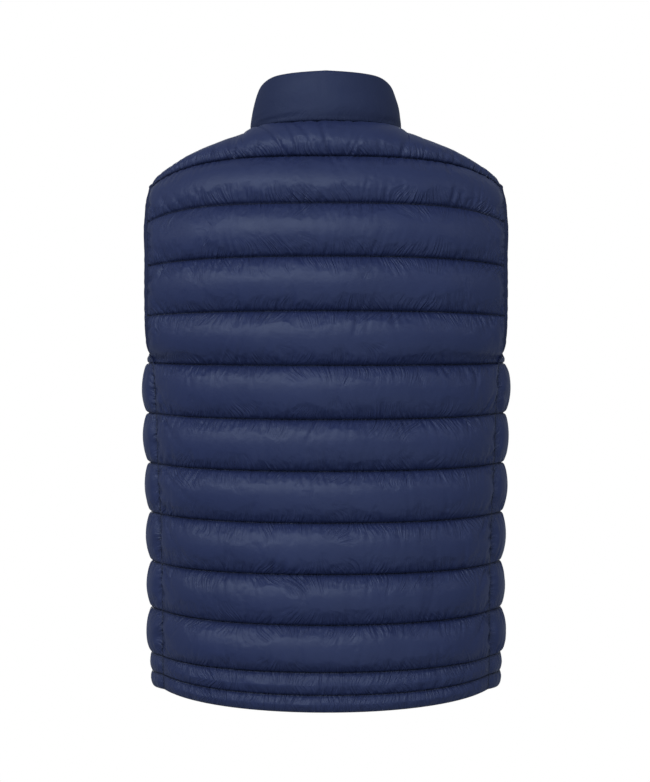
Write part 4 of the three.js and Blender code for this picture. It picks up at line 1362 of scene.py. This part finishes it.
# Each light's name, place, target, size, watts and colour.
LIGHTS = (
    ("key", (1.0, 2.8, 1.5), (0.05, 0.1, -0.35), (4.2, 1.5), 106, (0.97, 0.98, 1.0)),
    ("bounce", (-0.4, 1.9, -1.3), (0, 0, -0.45), (3.0, 1.4), 9, (0.93, 0.96, 1.0)),
    ("top", (0.0, 0.9, 2.6), (0, 0, -0.2), (2.0, 2.0), 2, (1.0, 1.0, 1.0)),
    ("right", (-2.3, 1.3, 0.9), (-0.15, 0, -0.3), (0.7, 1.6), 8, (1.0, 0.97, 0.94)),
    ("left", (2.3, 0.9, 0.9), (0.15, 0, -0.3), (0.6, 1.6), 7, (1.0, 0.98, 0.97)),
    ("front", (0.1, -3.0, -0.1), (0, 0, -0.35), (1.5, 1.5), 34, (1.0, 1.0, 1.0)),
)


class VEST_OT_stage(bpy.types.Operator):
    """Builds the pale floor, the studio lights and the camera at the photograph's viewing angle"""

    bl_idname = "vest.stage"
    bl_label = "Stage"

    def execute(self, context):
        bowl = stage_bowl()
        nodes = Nodes("pale_floor")
        glow = nodes.add("ShaderNodeEmission", {}, {"Color": (1, 1, 1, 1), "Strength": 1.0})
        nodes.add_output(glow)
        bowl.data.materials.append(nodes.material)
        bowl.visible_diffuse = bowl.visible_glossy = bowl.visible_shadow = False
        world = bpy.data.worlds.new("studio")
        world.use_nodes = True
        background = world.node_tree.nodes["Background"]
        background.inputs["Color"].default_value = SKY["colour"]
        background.inputs["Strength"].default_value = SKY["strength"]
        context.scene.world = world
        for light in LIGHTS:
            soft_light(*light)
        camera = bpy.data.cameras.new("camera")
        camera.lens = SENSOR * CAMERA["focal_px"] / PHOTO_HEIGHT
        camera.shift_y = -(PHOTO_HEIGHT / 2 - CAMERA["horizon_row"]) / PHOTO_HEIGHT
        viewer = bpy.data.objects.new("camera", camera)
        viewer.location = (CAMERA["x"], CAMERA["distance"], CAMERA["z"])
        viewer.rotation_euler = (math.radians(90), 0, math.radians(180))
        context.scene.collection.objects.link(viewer)
        context.scene.camera = viewer
        context.scene.view_settings.view_transform = "Standard"
        return {"FINISHED"}


def stage_bowl():
    """A pale round floor that turns up into a wall all round: a flat disc, a quarter circle of 1 m and a
    straight rise, carried round the upright axis."""
    turn = np.linspace(0, np.pi / 2, STAGE["steps"])
    radius = np.append(STAGE["flat_radius"] + np.sin(turn), STAGE["radius"])[:, None]
    z = np.append(STAGE["floor"] + 1 - np.cos(turn), STAGE["top"])[:, None]
    around = np.linspace(0, 2 * np.pi, STAGE["sides"], endpoint=False)
    rings = vector(radius * np.cos(around), radius * np.sin(around), z)
    points = np.concatenate([[[0, 0, STAGE["floor"]]], rings.reshape(-1, 3)]) / MM
    index = 1 + np.arange(len(points) - 1).reshape(rings.shape[:2])
    ahead = np.roll(index, -1, 1)
    quads = np.stack([index[:-1], ahead[:-1], ahead[1:], index[1:]], -1).reshape(-1, 4)
    fan = np.stack([0 * index[0], index[0], ahead[0]], -1)
    return mesh_object("pale_floor", points, [quads], [fan])


def soft_light(name, place, target, size, power, colour):
    """A rectangular area light at a place, turned to its target."""
    light = bpy.data.lights.new(name, "AREA")
    light.shape = "RECTANGLE"
    light.size, light.size_y = size
    light.energy, light.color = power, colour
    lamp = bpy.data.objects.new(name, light)
    lamp.location = place
    lamp.rotation_euler = (Vector(target) - Vector(place)).to_track_quat("-Z", "Y").to_euler()
    bpy.context.scene.collection.objects.link(lamp)


PIECES = (VEST_OT_panels, VEST_OT_collar, VEST_OT_bindings, VEST_OT_zip, VEST_OT_stitching, VEST_OT_stage)


class VEST_PT_sidebar(bpy.types.Panel):
    """Lists the vest's sizes and colours, and the steps that build it"""

    bl_label = "Quilted vest"
    bl_idname = "VEST_PT_sidebar"
    bl_space_type = "VIEW_3D"
    bl_region_type = "UI"
    bl_category = "Vest"

    def draw(self, context):
        for group in (sizes(), colours()):
            for name in group.__annotations__:
                self.layout.prop(group, name)
        for piece in PIECES:
            self.layout.operator(piece.bl_idname)


CLASSES = (VEST_sizes, VEST_colours, *PIECES, VEST_PT_sidebar)


def register():
    """Registers the classes and the scene's settings."""
    for kind in CLASSES:
        bpy.utils.register_class(kind)
    bpy.types.Scene.vest_sizes = bpy.props.PointerProperty(type=VEST_sizes)
    bpy.types.Scene.vest_colours = bpy.props.PointerProperty(type=VEST_colours)


def unregister():
    """Removes the settings and the classes."""
    del bpy.types.Scene.vest_sizes, bpy.types.Scene.vest_colours
    for kind in reversed(CLASSES):
        bpy.utils.unregister_class(kind)


def main():
    """Registers the add-on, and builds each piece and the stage."""
    register()
    bpy.ops.vest.panels()
    bpy.ops.vest.collar()
    bpy.ops.vest.bindings()
    bpy.ops.vest.zip()
    bpy.ops.vest.stitching()
    bpy.ops.vest.stage()


if __name__ == "__main__":
    main()
